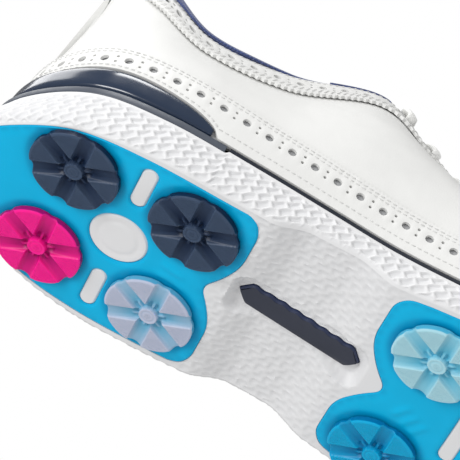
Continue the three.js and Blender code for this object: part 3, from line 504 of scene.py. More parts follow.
def flat_sheet(outline, holes, spacing, clear=0.6, extra=()):
    """Triangles that fill an outline round its holes: points, faces and, for each point, the loop
    it lies on (0 the outline, 1 and on the holes, -1 none)."""
    loops = [arr(outline)] + [arr(h) for h in holes]
    low, high = loops[0].min(0), loops[0].max(0)
    xs = np.arange(low[0] + spacing * 0.37, high[0], spacing)
    ys = np.arange(low[1] + spacing * 0.41, high[1], spacing * 0.866)
    gx, gy = np.meshgrid(xs, ys, indexing="ij")
    gx = gx + np.where(np.arange(len(ys)) % 2, spacing / 2, 0)[None, :]
    inner = np.stack([gx.ravel(), gy.ravel()], 1)
    if len(extra):
        inner = np.concatenate([inner, arr(extra)])
    edge_points = np.concatenate(loops)
    inner = inner[inside(inner, loops[0])]
    for hole in loops[1:]:
        inner = inner[outside(inner, hole)]
    inner = inner[clear_of(inner, edge_points, clear * spacing)]
    points = np.concatenate([edge_points, inner])
    edges, labels, start = [], np.full(len(points), -1), 0
    for number, loop in enumerate(loops):
        count = len(loop)
        edges += [(start + k, start + (k + 1) % count) for k in range(count)]
        labels[start:start + count] = number
        start += count
    made = geometry.delaunay_2d_cdt([Vector(p) for p in points], edges, [], 0, 1e-5, True)
    out, faces = np.array([v[:] for v in made[0]]), np.array(made[2])
    label = np.array([max([labels[k] for k in source], default=-1) for source in made[3]])
    middles = out[faces].mean(1)
    keep = inside(middles, loops[0])
    for hole in loops[1:]:
        keep &= outside(middles, hole)
    faces = faces[keep]
    a, b, c = (out[faces[:, k]] for k in range(3))
    turned = np.cross(b - a, c - a) < 0
    faces[turned] = faces[turned][:, ::-1]
    used, faces = np.unique(faces, return_inverse=True)
    return out[used], faces.reshape(-1, 3), label[used]


def rim_edges(faces):
    """Directed edges that only one triangle uses."""
    pairs = np.concatenate([faces[:, [0, 1]], faces[:, [1, 2]], faces[:, [2, 0]]])
    known = {(a, b) for a, b in pairs.tolist()}
    return np.array([(a, b) for a, b in known if (b, a) not in known])


def double_sided(upper, lower, faces):
    """Closes two layers over the same triangles."""
    count = len(upper)
    rim = rim_edges(faces)
    walls = np.stack([rim[:, 1], rim[:, 0], rim[:, 0] + count, rim[:, 1] + count], 1)
    all_faces = faces.tolist() + (faces[:, ::-1] + count).tolist() + walls.tolist()
    return np.concatenate([upper, lower]), all_faces


PER_RIB = 33.0  # flat millimetres for one rib in the panels' patterns
EASED = 0.22  # how far a panel's cut edges are drawn in


def circle_loop(x, y, radius, count):
    turn = np.arange(count) * 2 * np.pi / count
    return np.stack([x + radius * np.cos(turn), y + radius * np.sin(turn)], 1)


def hole_loop(rib, height, radius, count, base):
    """A round hole of a panel, as a loop in its flat pattern."""
    turn = np.arange(count) * 2 * np.pi / count
    local = per_rib(rib, height)
    return np.stack([
        (rib + radius * np.cos(turn) / local) * PER_RIB,
        height - base + radius * np.sin(turn)], 1)


def panel(name, outline, holes, spacing, base, inner_out, outer_out, overlay_shade=None):
    """A leather piece cut from a flat pattern of (rib x PER_RIB, height above base) and laid on the form."""
    flat, faces, label = flat_sheet(outline, holes, spacing)
    rib, height = flat[:, 0] / PER_RIB, flat[:, 1] + base(flat[:, 0] / PER_RIB)
    outer = form(rib, height, outer_out(rib, height) - EASED * (label >= 0))
    points, all_faces = double_sided(outer, form(rib, height, inner_out(rib, height)), faces)
    overlay_shade_values = overlay_shade(rib, height) if overlay_shade else np.zeros(len(flat))
    piece(name, points, all_faces, "upper_leather", name,
          attributes={"overlay_shade": np.concatenate([overlay_shade_values, overlay_shade_values])}, sharp=50)


def path_at(ribs, heights):
    """Distances along a line on the form."""
    return travelled(form(ribs, heights))


def spaced(start, end, height_of, pitch, margin=0.0, phase=0.0):
    """Ribs at an even pitch along a line of the form."""
    ribs = np.linspace(start, end, 1500)
    length = path_at(ribs, height_of(ribs))
    count = max(2, int(round((length[-1] - 2 * margin) / pitch)) + 1)
    stations = np.linspace(margin, length[-1] - margin, count) + phase * pitch
    stations = stations[stations <= length[-1] - margin + 1e-6]
    return np.interp(stations, length, ribs)


def capsule(length, width, tall, sides=6, rings=4):
    """A stitch lying along x, half sunk: its points and faces."""
    points = []
    for ring in range(rings + 1):
        t = ring / rings
        swell = math.sin(math.pi * (0.12 + 0.76 * t)) ** 0.6
        for side in range(sides):
            turn = 2 * math.pi * side / sides
            points.append(((t - 0.5) * length, math.cos(turn) * width / 2 * swell,
                           math.sin(turn) * tall / 2 * swell))
    return tube(np.reshape(points, (rings + 1, sides, 3))[:, ::-1])


def stitches(name, lines, slant=0.0, length=1.5, width=0.5, tall=0.5, pitch=2.2):
    """Rows of stitches on the form. Each line is (ribs, heights, distance out)."""
    shape, shape_faces = capsule(length, width, tall)
    points, faces = [], []
    for ribs, heights, out in lines:
        along = path_at(ribs, heights)
        count = max(2, int((along[-1] - 2) / pitch))
        stations = np.linspace(1, along[-1] - 1, count)
        rib, height = np.interp(stations, along, ribs), np.interp(stations, along, heights)
        ahead_rib, ahead_height = (np.interp(stations + 0.4, along, v) for v in (ribs, heights))
        centre = form(rib, height, out)
        normal = form_normal(rib, height)
        ahead = unit(form(ahead_rib, ahead_height, out) - centre)
        turned = ahead * math.cos(slant) + np.cross(normal, ahead) * math.sin(slant)
        side = np.cross(normal, turned)
        for c, a, d, n in zip(centre, turned, side, normal):
            base = len(points) * len(shape)
            points.append(c + shape[:, :1] * a + shape[:, 1:2] * d + shape[:, 2:] * n)
            faces += [[k + base for k in face] for face in shape_faces]
    return piece(name, np.concatenate(points), faces, "upper_leather", finish="thread", sharp=None)


# ---- Upper: leather panels ----

SEAM = GAP / 20
CLIP_END = rib_at(67)
SHELF_START = rib_at(72)
BACKSTAY, COUNTER, COLLAR, VAMP, PUFF = 0.75, 3.2, 4.4, 8.6, 2.2
FACING = 12.0
COARSE = 1.0  # mesh spacing is multiplied by this while trying things
on_top = UNDERLAY + OVERLAY


def clip_height(rib):
    away = np.minimum(from_heel(rib) / CLIP_END, 1)
    return 9.0 * np.sqrt(1 - away**5)


def guard_low(rib):
    return clip_height(rib) + GAP


def guard_high(rib):
    return 14.0 + 5.5 * bump(from_heel(rib), 1.5, 2.6)


THROAT_REAR = 5.05  # rib of the last eyelets' end of the throat
THROAT_FRONT = float(rib_value(TOE, 3)) * LENGTH
FIRST_EYELET, EYELET_PITCH, EYELET_INSET, EYELET_RADIUS = 23.5, 11.0, 7.0, 2.4


def throat_rib(distance):
    """The rib whose top edge is at a distance from the heel."""
    return bisect(THROAT_REAR, float(TOE), lambda rib: rib_value(rib, 3) * LENGTH > distance)


EYELET_RIBS = [throat_rib(THROAT_FRONT - FIRST_EYELET - EYELET_PITCH * k) for k in range(6)]
ALL_EYELETS = EYELET_RIBS + [ROUND - rib for rib in EYELET_RIBS]


def edge_line(start, end, height_of, step, tooth=0.0):
    """A panel's edge as a flat line. With a tooth, every second point is drawn in, as pinking shears do."""
    ribs = spaced(start, end, height_of, step)
    heights = height_of(ribs)
    heights = heights + tooth * (np.arange(len(ribs)) % 2)
    return np.stack([ribs, heights], 1)


def side_line(rib, low, high, step):
    count = max(2, int((high - low) / step))
    heights = np.linspace(low, high, count + 1)[1:-1]
    return np.stack([np.full(len(heights), rib), heights], 1)


def outline_of(lower, upper, base, step):
    """Joins a lower and an upper edge, both from one rib to the other, into a flat loop."""
    a, b = lower[-1], upper[-1]
    c, d = upper[0], lower[0]
    loop = np.concatenate([lower, side_line(a[0], a[1], b[1], step), upper[::-1],
                           side_line(c[0], d[1], c[1], step)[::-1]])
    return np.stack([loop[:, 0] * PER_RIB, loop[:, 1] - base(loop[:, 0])], 1)


def level(value):
    return lambda rib: value + 0 * arr(rib)


def overlay_shade_mask(rib, height):
    """Painted shade: 1 where an overlay hides the leather, so that its holes look dark inside."""
    margin = 1.8
    guard = smooth(guard_high(rib) - margin - height, 0, 1)
    strip = smooth(height - (top(rib) - FACING + margin), 0, 1) * smooth(top(rib) - 1 - height, 0, 1)
    return np.maximum(guard, strip) * (from_heel(rib) > BACKSTAY)


def eyelet_holes(start, end, base):
    return [hole_loop(rib, top(rib) - EYELET_INSET, EYELET_RADIUS, 14, base(rib))
            for rib in ALL_EYELETS if start < rib < end]


def at_distance(out):
    return lambda rib, height: out


def base_panel(name, start, end):
    step = 1.6 * COARSE
    lower, upper = edge_line(start, end, level(GAP), step), edge_line(start, end, top, step)
    panel(name, outline_of(lower, upper, level(0), step), eyelet_holes(start, end, level(0)), 1.7 * COARSE,
          level(0), at_distance(-LEATHER), at_distance(0.0), overlay_shade_mask)


base_panel("quarter_outer", SEAM, VAMP - SEAM)
base_panel("quarter_inner", ROUND - VAMP + SEAM, ROUND - SEAM)
base_panel("vamp", VAMP + SEAM, ROUND - VAMP - SEAM)

BIG, SMALL, PITCH, PAIR = 1.35, 0.5, 7.8, 1.15  # perforations: radii, pitch, half a small pair's spacing
GUARD_ROW, FACING_ROW = 6.0, 5.2  # how far the rows lie below the panels' upper edges
PINKED_STEP, PINKED_TOOTH = (0.65, 1.05), (-0.75, 0.95)  # of the mudguard and of the facings


def perforations(start, end, height_of, base, margin):
    """A row of big holes with a pair of small ones between each two."""
    big = spaced(start, end, height_of, PITCH, margin)
    loops = [hole_loop(rib, height_of(rib), BIG, 12, base(rib)) for rib in big]
    for rib in (big[1:] + big[:-1]) / 2:
        for aside in (-PAIR, PAIR):
            loops.append(hole_loop(rib, height_of(rib) + aside, SMALL, 7, base(rib)))
    return loops


def mudguard():
    lower = edge_line(0, ROUND, guard_low, 1.5)
    upper = edge_line(0, ROUND, guard_high, PINKED_STEP[0], PINKED_TOOTH[0])
    holes = perforations(0, ROUND, lambda rib: guard_high(rib) - GUARD_ROW, level(0), PITCH / 2)
    panel("mudguard", outline_of(lower, upper, level(0), 1.2), holes, 1.6 * COARSE, level(0),
          at_distance(UNDERLAY), at_distance(on_top))


mudguard()


def under_top(down):
    """A height that stays a distance below the top edge."""
    return lambda rib: top(rib) - down


def facing(name, start, end, collar):
    lower = edge_line(start, end, under_top(FACING), PINKED_STEP[1], PINKED_TOOTH[1])
    upper = edge_line(start, end, top, 1.5)
    holes = perforations(*collar, under_top(FACING_ROW), top, 4) + eyelet_holes(start, end, top)
    panel(name, outline_of(lower, upper, top, 1.2), holes, 1.6 * COARSE, top,
          at_distance(UNDERLAY), at_distance(on_top))


COLLAR_ROW_END = 4.95
facing("facing_outer", BACKSTAY + SEAM, TOE - SEAM, (BACKSTAY, COLLAR_ROW_END))
facing("facing_inner", TOE + SEAM, ROUND - BACKSTAY - SEAM, (ROUND - COLLAR_ROW_END, ROUND - BACKSTAY))


STRIP, SKIVED = 0.3 * BACKSTAY, 0.7


def in_tab(rib, height):
    """0 in the thin strip down the heel, 1 in the tab above it."""
    return smooth(height - top(rib) + FACING, -3, 0)


def backstay():
    """A tab under the collar with a narrow strip down the back of the heel."""
    start, end = -BACKSTAY + SEAM, BACKSTAY - SEAM
    pinked = under_top(FACING), PINKED_STEP[1], PINKED_TOOTH[1]
    lower = np.concatenate([edge_line(start, -STRIP, *pinked),
                            edge_line(-STRIP, STRIP, lambda rib: guard_high(rib) + GAP, 1.0),
                            edge_line(STRIP, end, *pinked)])
    upper = edge_line(start, end, top, 1.5)
    panel("backstay", outline_of(lower, upper, level(0), 1.5), [], 1.6 * COARSE, level(0),
          lambda rib, height: mix(0.08, UNDERLAY, in_tab(rib, height)),
          lambda rib, height: mix(SKIVED, on_top, in_tab(rib, height)))


backstay()


def along_form(start, end, height_of, out):
    ribs = np.linspace(start, end, 900)
    return ribs, height_of(ribs), out


def up_form(rib, low, high, out):
    heights = np.linspace(low, high, 60)
    return np.full(60, float(rib)), heights, out


proud = on_top + 0.02
stitches("mudguard_stitching", [
    along_form(0.02, ROUND - 0.02, lambda rib: np.maximum(3.2, guard_low(rib) + 1.1), proud),
    along_form(0.02, ROUND - 0.02, lambda rib: guard_high(rib) - 2.9, proud),
    along_form(0.02, ROUND - 0.02, lambda rib: guard_high(rib) - 1.7, proud),
], pitch=2.0, length=1.3, width=0.42, tall=0.42)
facing_ends = {"outer": (BACKSTAY + 0.05, TOE - 0.05, 0.5),
               "inner": (TOE + 0.05, ROUND - BACKSTAY - 0.05, -0.5)}
for name, (start, end, slant) in facing_ends.items():
    stitches("facing_stitching_" + name, [
        along_form(start, end, under_top(down), proud) for down in (FACING - 1.9, FACING - 2.9, 1.6)
    ], slant=slant, pitch=2.1)
edges = []
for side in (-1, 1):
    rib = side * (STRIP - 0.06)
    edges.append(up_form(rib, float(guard_high(rib)) + 1, float(top(rib)) - FACING - 3.5, SKIVED + 0.02))
    for inset in (0.06, 0.13):
        rib = TOE + side * (TOE - VAMP - inset)
        edges.append(up_form(rib, float(guard_high(rib)) + 1, float(top(rib)) - FACING - 1, 0.04))
for down in (FACING - 1.9, FACING - 2.9):
    edges.append(along_form(-BACKSTAY + 0.05, BACKSTAY - 0.05, under_top(down), proud))
stitches("seam_stitching", edges, pitch=2.3)

# ---- Linings and padding ----


def stiffener_zone(rib):
    counter = 1 - smooth(from_heel(rib), COUNTER, COUNTER + 0.8)
    puff = 1 - smooth(np.abs(np.mod(rib, ROUND) - TOE), PUFF, PUFF + 0.8)
    return np.maximum(counter, puff)


def lining_out(rib):
    return BEHIND - (STIFFENER + GAP) * stiffener_zone(rib)


def collar_fade(rib):
    return 1 - smooth(from_heel(rib), COLLAR - 1, COLLAR)


COLLAR_DEPTH, FOAM_DEPTH, FOAM_BULGE = 24.0, 22.6, 4.5


def foam_bulge(rib, height):
    down = np.clip((top(rib) - height) / COLLAR_DEPTH, 0, 1)
    return FOAM_BULGE * collar_fade(rib) * np.sin(np.pi * down)


def swept(name, start, end, count, section, slot, sharp=35):
    """A piece swept along the form: section gives (heights, distances out) of a closed outline at a rib."""
    sections = []
    for rib in np.linspace(start, end, count):
        heights, outs = section(rib)
        sections.append(form(np.full(len(heights), rib), heights, outs))
    return piece(name, *tube(np.stack(sections)), slot, name, sharp=sharp)


def layer_section(low, high, inner, outer, rows):
    """A thin layer between two faces, with its two edges rounded."""
    def section(rib):
        heights = np.linspace(float(low(rib)), float(high(rib)), rows)
        i, o = arr(inner(rib, heights)) + 0 * heights, arr(outer(rib, heights)) + 0 * heights
        middle = (i + o) / 2
        eased = np.abs(o - i) / 2 * 0.6
        return (np.concatenate([[heights[0] - eased[0]], heights, [heights[-1] + eased[-1]], heights[::-1]]),
                np.concatenate([[middle[0]], o, [middle[-1]], i[::-1]]))
    return section


LINING_ROWS = 28
swept("heel_lining", -COLLAR, COLLAR, 120, layer_section(
    lambda rib: 0.9, under_top(24.9), lambda rib, h: lining_out(rib) - LINING,
    lambda rib, h: lining_out(rib), LINING_ROWS), "lining_fabric")


def roll(first, last, foot, tall, count):
    """Half a turn from one distance out to another, over the top edge: heights and distances out."""
    turn = np.linspace(0, np.pi, count)[1:]
    return foot + tall * np.sin(turn), (first + last) / 2 - (last - first) / 2 * np.cos(turn)


def throat_section(rib):
    """The front lining: it stands up as a narrow turned edge between the collar and the laces."""
    length = float(top(rib))
    turned = float(1 - smooth(from_heel(rib), THROAT_EDGE - 0.5, THROAT_EDGE))
    heights = np.concatenate([np.linspace(0.9, length - 2, LINING_ROWS), [length - 1, length, length + 0.4]])
    outer = np.full(len(heights), float(lining_out(rib)))
    last, tall = mix(outer[0], 1.9, turned), mix(0.4, 1.9, turned)
    over, roll_out = roll(outer[0] - LINING, last, heights[-1], tall, 11)
    return (np.concatenate([heights, over[::-1], heights[::-1]]),
            np.concatenate([outer, roll_out[::-1], outer - LINING]))


THROAT_EDGE = EYELET_RIBS[-1] + 0.1
swept("forepart_lining", COLLAR + SEAM, ROUND - COLLAR - SEAM, 300, throat_section, "lining_fabric", None)
foam = swept("collar_foam", -COLLAR, COLLAR, 160, layer_section(
    under_top(FOAM_DEPTH), under_top(1.9), lambda rib, h: BEHIND - 0.6 - foam_bulge(rib, h),
    lambda rib, h: BEHIND, 20), "padding_foam")


def collar_drop(rib):
    """How far the rolled lining comes down over the leather's outside: most at the heel."""
    return 0.1 + 3.6 * (1 - smooth(from_heel(rib), 1.3, 3.3))


def collar_section(rib):
    """The padded lining, rolled over the top edge of the leather and a little way down its outside."""
    length, fade = float(top(rib)), float(collar_fade(rib))
    edge, outside = length + 0.5, mix(0.6, 1.95, fade)
    drop = float(collar_drop(rib)) * fade
    heights = np.linspace(length - COLLAR_DEPTH, edge, 26)
    out = BEHIND - 0.6 - GAP - foam_bulge(rib, heights)
    last = outside + 0.75
    over, roll_out = roll(out[-1] - LINING, last, edge, mix(0.8, 2.1, fade), 13)
    down = np.linspace(edge, length - drop - 0.1, 7)
    turned_in = [length - drop - 0.5, length - drop - 0.1]
    climb = np.concatenate([heights, over, down[1:], turned_in, down[-2:0:-1], [length + 0.25],
                            heights[-2::-1]])
    outs = np.concatenate([out - LINING, roll_out, np.full(6, last), [(outside + last) / 2, outside],
                           np.full(5, outside), [outside - 0.3], out[-2::-1]])
    return climb[::-1], outs[::-1]


swept("collar_lining", -COLLAR, COLLAR, 260, collar_section, "lining_fabric", None)

# ---- Heel clip, shelf and rand ----


def clip_section(rib):
    high_edge = max(float(clip_height(rib)), GAP + 0.05)
    t = np.linspace(0, 1, 17)
    rounding = (1 - np.abs(2 * t - 1) ** 5) ** 0.5
    thick = 2.0 * min(1.0, 0.5 + float(bump(from_heel(rib), 0, 1.4)))
    heights = mix(GAP, high_edge, t)
    out = GAP + 0.15 + thick * rounding
    return np.concatenate([heights, heights[::-1]]), np.concatenate([out, np.full(17, GAP)])


swept("heel_clip", -CLIP_END * 0.985, CLIP_END * 0.985, 260, clip_section, "clip_navy", None)


def heelness(rib):
    return bump(from_heel(rib), 0, 1.4)


def lip(rib):
    return 1 + 2.6 * heelness(rib)


def flare(rib):
    return 1.8 + 7.9 * heelness(rib) - 4 * bump(np.mod(rib, ROUND), TOE, 2.2)


SHELF_HEIGHT, RAND_HEIGHT, STRIP_CORNER, STRIP_BACK = 2.6, 1.4, 0.45, -3.2


def strip(name, start, end, height, slot, count):
    """A flat strip between the sole and the upper, with rounded outer corners."""
    ribs = np.linspace(start, end, count)
    turn = np.linspace(0, np.pi / 2, 5)
    reach = STRIP_CORNER * (np.cos(turn) - 1)
    drop = STRIP_CORNER * (1 - np.sin(turn))
    edge, back = lip(ribs)[:, None], np.full((count, 1), STRIP_BACK)
    outs = np.concatenate([back, edge + reach[::-1], edge + reach, back], 1)
    drops = np.concatenate([[0], drop[::-1], height - drop, [height]])[None, :]
    points = feather(ribs)[:, None, :] + outward(ribs)[:, None, :] * outs[..., None]
    points[..., 2] -= drops
    piece(name, *tube(points[:, ::-1]), slot, name)


strip("heel_shelf", -SHELF_START + 2 * SEAM, SHELF_START - 2 * SEAM, SHELF_HEIGHT, "shelf_navy", 200)
strip("rand_strip", SHELF_START + SEAM, ROUND - SHELF_START - SEAM, RAND_HEIGHT, "rand_navy", 500)

# ---- Sole ----

PLATE_BOTTOM, PLATE_THICKNESS = 2.6, 2.2
PLATE_TOP = PLATE_BOTTOM + PLATE_THICKNESS
HEEL_PLATE_FRONT, HEEL_NOTCH = 91.5, 7.5
BALL_PLATE_REAR, BALL_NOTCH, BALL_PLATE_FRONT = 134.5, 11.5, 240.0
WINDOW_X, WINDOW_RADIUS, PILL_Y, PILL_WIDTH, PILL_LENGTH = 56.5, 9.5, 24.0, 5.6, 17.0
STRIP_X, STRIP_LENGTH = (170.5, 205.0), 24.0
BAR_X = (HEEL_PLATE_FRONT + BALL_PLATE_REAR) / 2 + 1.5
BAR_LENGTH, BAR_WIDTH, BAR_BOTTOM, BAR_THICKNESS, BAR_WAVES = 41.0, 8.6, 5.4, 2.6, 0.5
BAR_SURROUND, WINDOW_EDGE, PLATE_EDGE, PLATE_GROWN = 6.7, 3.3, 3.1, 0.22
SOCKET_RADIUS, SOCKET_TOP, POST_RADIUS, POST_TOP = 7.8, 7.1, 5.5, 5.9
CUSHION_FRONT, CUSHION_INSET, CUSHION_FLOOR = 112, 9.0, 9.7


def sole_bottom(x):
    x = arr(x)
    arch = smooth(x, 92, 105) - smooth(x, 118, 133)
    return 2.9 + 4 * arch + 10 * np.maximum(0, (x - 244) / (LENGTH - 244)) ** 2


def strip_height(rib):
    return mix(SHELF_HEIGHT, RAND_HEIGHT, smooth(from_heel(rib), SHELF_START - 0.02, SHELF_START + 0.02))


def sole_top(rib):
    return feather(rib)[..., 2] - strip_height(rib) - GAP


def scales(along, down, width, height, tilt, scallop=0.06):
    """Overlapping scale-shaped cells in staggered rows, 0 at their raised edges and 1 at their deepest."""
    c, s = math.cos(tilt), math.sin(tilt)
    u = (along * c - down * s) / width
    v = (along * s + down * c) / height + scallop * np.cos(2 * np.pi * u)
    row = np.floor(v)
    u = u + 0.5 * np.mod(row, 2) + 0.12 * np.sin(row * 2.4)
    fu, fv = np.mod(u, 1), np.mod(v, 1)
    ramp = 1 - 0.6 * fu - 0.4 * fv
    across = smooth(fu, 0, 0.24) * smooth(1 - fu, 0, 0.16)
    return (0.2 + 0.8 * ramp) * across * smooth(fv, 0, 0.3) * smooth(1 - fv, 0, 0.2)


def hermite(knots, values, t):
    """A smooth curve through values (last axis the knots) at the shares t."""
    knots = arr(knots)
    slopes = np.gradient(values, knots, axis=-1)
    k = np.clip(np.searchsorted(knots, t, side="right") - 1, 0, len(knots) - 2)
    span = knots[k + 1] - knots[k]
    a, b, p, q = values[..., k], values[..., k + 1], slopes[..., k] * span, slopes[..., k + 1] * span
    return cubic(a, b, p, q, (t - knots[k]) / span)


def plate_side(start, end, least=4.0):
    """A plate's long side: 4 mm inside the sole's edge, and by the least inset at the back of the heel."""
    ribs = np.linspace(start, end, max(3, int(abs(end - start) / 0.04)))
    inset = mix(4.0, least, 1 - smooth(from_heel(ribs), 1.6, 3.4))
    return (feather(ribs) + outward(ribs) * (flare(ribs) - inset)[:, None])[:, :2]


def rounded(corners, radius, steps=7):
    """A polyline's inner corners replaced by arcs."""
    corners = arr(corners)
    out = [corners[0]]
    for a, b, c in zip(corners[:-2], corners[1:-1], corners[2:]):
        la, lc = np.linalg.norm(a - b), np.linalg.norm(c - b)
        r = min(radius, la * 0.48, lc * 0.48)
        p, q = b + (a - b) / la * r, b + (c - b) / lc * r
        for t in np.linspace(0, 1, steps):
            out.append((1 - t) ** 2 * p + 2 * t * (1 - t) * b + t * t * q)
    out.append(corners[-1])
    return np.array(out)


def lobed_edge(x, depth, outer_y, inner_y):
    back = lambda share: x - depth * share
    return [(back(0.25), outer_y + 1.6), (x, outer_y + 6), (x, outer_y * 0.42), (back(0.45), outer_y * 0.18),
            (back(1), 0), (back(0.45), inner_y * 0.18), (x, inner_y * 0.4), (x, inner_y - 6),
            (back(0.25), inner_y - 1.6)]


def closed_outline(side, edge, radius=7.0):
    """Joins a curved side and a cornered edge into a loop with rounded corners."""
    corners = rounded(np.concatenate([side[-2:-1], side[-1:], edge, side[:1], side[1:2]]), radius)
    return even_loop(np.concatenate([side[1:-1], corners[1:-1]]), 1.0)


def even_loop(loop, step):
    """The same loop with its points a step apart."""
    ends = np.concatenate([loop, loop[:1]])
    along = travelled(ends)
    stations = np.linspace(0, along[-1], int(along[-1] / step) + 1)[:-1]
    return np.stack([np.interp(stations, along, ends[:, axis]) for axis in (0, 1)], 1)


def heel_plate_outline():
    side = HEEL_PLATE_FRONT - 5
    back = plate_side(rib_at(side, True), ROUND + rib_at(side), 2.6)
    return closed_outline(back, lobed_edge(HEEL_PLATE_FRONT, HEEL_NOTCH, back[-1][1], back[0][1]))


def ball_plate_outline():
    rear, front = BALL_PLATE_REAR + 9, BALL_PLATE_FRONT - 8
    outer = plate_side(rib_at(rear), rib_at(front))
    inner = plate_side(rib_at(front, True), rib_at(rear, True))
    y1, y2 = outer[-1][1], inner[0][1]
    toe = rounded([outer[-2], outer[-1], (BALL_PLATE_FRONT - 2, y1 + 7), (BALL_PLATE_FRONT, y1 + 16),
                   (BALL_PLATE_FRONT, y2 - 16), (BALL_PLATE_FRONT - 2, y2 - 7), inner[0], inner[1]], 5)
    back = lobed_edge(BALL_PLATE_REAR, -BALL_NOTCH, outer[0][1], inner[-1][1])[::-1]
    side = np.concatenate([outer[:-1], toe[1:-1], inner[1:]])
    return closed_outline(side, back)


def offset(loop, distance):
    along = unit(np.roll(loop, -1, 0) - np.roll(loop, 1, 0))
    return loop + np.stack([along[:, 1], -along[:, 0]], 1) * distance


def pill(x, y, width, length, steps=9):
    turn = np.linspace(0, np.pi, steps)
    radius = width / 2
    end = length / 2 - radius
    head = np.stack([x + radius * np.cos(turn), y + end + radius * np.sin(turn)], 1)
    tail = np.stack([x - radius * np.cos(turn), y - end - radius * np.sin(turn)], 1)
    return even_loop(np.concatenate([head, tail]), 0.8)


def heel_windows(less):
    return [circle_loop(WINDOW_X, 0, WINDOW_RADIUS - less, 64)] + [
        pill(WINDOW_X, y, PILL_WIDTH - 2 * less, PILL_LENGTH - 2 * less) for y in (-PILL_Y, PILL_Y)]


def ball_windows(less):
    return [pill(x, 2, PILL_WIDTH - 2 * less, STRIP_LENGTH - 2 * less) for x in STRIP_X]


def bar_middle(x):
    """The bar lies a little to the outer side and turned, as in the photograph."""
    return -2.7 + 0.068 * (x - BAR_X)


def bar_outline(extra):
    """The bar's pointed outline, grown by extra, with waves along its outer side."""
    half, side = BAR_LENGTH / 2 + extra, BAR_WIDTH / 2 + extra
    shoulder = half - side * 0.8
    corners = [(-shoulder, -side), (shoulder, -side), (half, 0), (shoulder, side), (-shoulder, side),
               (-half, 0)]
    x, y = even_loop(rounded(corners + corners[:2], 0.6)[1:-1], 0.5).T
    wavy = (y < -side * 0.7) & (np.abs(x) < shoulder)
    y = y + wavy * BAR_WAVES * (0.5 + 0.5 * np.cos(x * 2 * np.pi / 4.6))
    return np.column_stack([x + BAR_X, y + bar_middle(x + BAR_X)])


def cushion_outline(extra):
    start, end = rib_at(CUSHION_FRONT + extra, True), ROUND + rib_at(CUSHION_FRONT + extra)
    ribs = np.linspace(start, end, int((end - start) / 0.04))
    return even_loop((feather(ribs) + outward(ribs) * (extra - CUSHION_INSET))[:, :2], 1.5)


def half_line(value_of):
    """A height that depends on x alone, from the ribs of the outer side."""
    ribs = np.linspace(0, TOE, 400)
    x, z = feather(ribs)[:, 0], value_of(ribs)
    return lambda at: np.interp(at, x, z)


sole_top_at = half_line(sole_top)
board_bottom_at = half_line(lambda rib: feather(rib)[..., 2] - 1.8)


class Build:
    """Points and faces gathered into one mesh."""

    def __init__(self):
        self.points, self.faces, self.shade, self.count = [], [], [], 0

    def add(self, points, faces, shade=0.0):
        self.points.append(points)
        self.faces += [[int(k) + self.count for k in face] for face in faces]
        self.shade.append(np.broadcast_to(arr(shade), (len(points),)))
        self.count += len(points)

    def wall(self, loop, z1, z2, shade=0.0, other=None, turned=False):
        """Joins a loop at one height to the same loop, or to another one, at another height."""
        n = len(loop)
        z1, z2 = (np.broadcast_to(arr(z), (n,))[:, None] for z in (z1, z2))
        faces = grid_faces(2, n, False, True)
        self.add(np.concatenate([np.hstack([loop, z1]), np.hstack([loop if other is None else other, z2])]),
                 faces[:, ::-1] if turned else faces, shade)

    def fill(self, loop, holes, spacing, height, shade=0.0, up=False):
        """Fills a loop round its holes, at a height or at a height that depends on x, facing down or up."""
        flat, faces, _ = flat_sheet(loop, holes, spacing)
        z = height(flat[:, 0]) if callable(height) else np.full(len(flat), height)
        self.add(np.column_stack([flat, z]), faces if up else faces[:, ::-1], shade)

    def made(self, name, slot, node, **options):
        return piece(name, np.concatenate(self.points), self.faces, slot, node,
                     attributes={"shade": np.concatenate(self.shade)}, **options)


def sole_side(build):
    """The side of the sole with its moulded scales. Gives its lowest loop."""
    count, rows = ((2600, 64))
    ribs = np.arange(count) * ROUND / count
    f, l = flare(ribs), lip(ribs)
    z0, z1 = sole_bottom((feather(ribs) + outward(ribs) * f[:, None])[:, 0]), sole_top(ribs)
    outs = np.stack([f - 2.1, f - 0.6, f, (f + l) / 2 + 0.5, l], -1)
    heights = np.stack([z0, z0 + 0.7, z0 + 2.4, (z0 + 2.4 + z1) / 2, z1], -1)
    knots, t = [0, 0.1, 0.22, 0.6, 1], np.linspace(0, 1, rows)
    out, z = hermite(knots, outs, t), hermite(knots, heights, t)
    wall = feather(ribs)[:, None, :] + outward(ribs)[:, None, :] * out[..., None]
    wall[..., 2] = z
    middle = wall[:, rows // 2]
    along = travelled(np.concatenate([middle, middle[:1]]))[:-1, None]
    climb = np.linalg.norm(np.diff(wall, axis=1), axis=2)
    up = np.concatenate([np.zeros((count, 1)), np.cumsum(climb, 1)], 1)
    down = up[:, -1:] - up
    waist = smooth(wall[..., 0], 88, 104) - smooth(wall[..., 0], 122, 136)
    lower_end = mix(0.5, up[:, -1:] * 0.18, waist)
    mask = smooth(down, 0.9, 1.7) * smooth(up, lower_end, lower_end + 0.8)
    deep = scales(along, down, 5.0, 2.5, math.radians(36)) * mask
    fine = scales(along, down, 3.8, 2.3, math.radians(38), 0.2)
    fine = fine * smooth(down, 0.9, 1.7) * smooth(up, 0.6, 1.6) * waist * (1 - mask)
    normals = unit(np.cross(np.roll(wall, -1, 0) - np.roll(wall, 1, 0), np.gradient(wall, axis=1)))
    wall = wall - normals * (deep * 0.9 + fine * 0.28)[..., None] * smooth(up, 0, 0.8)[..., None]
    # Painted shade in the scales' hollows, by their depth.
    build.add(wall.reshape(-1, 3), grid_faces(count, rows, True, False), (deep * 0.55 + fine * 0.25).ravel())
    return wall[:, 0]


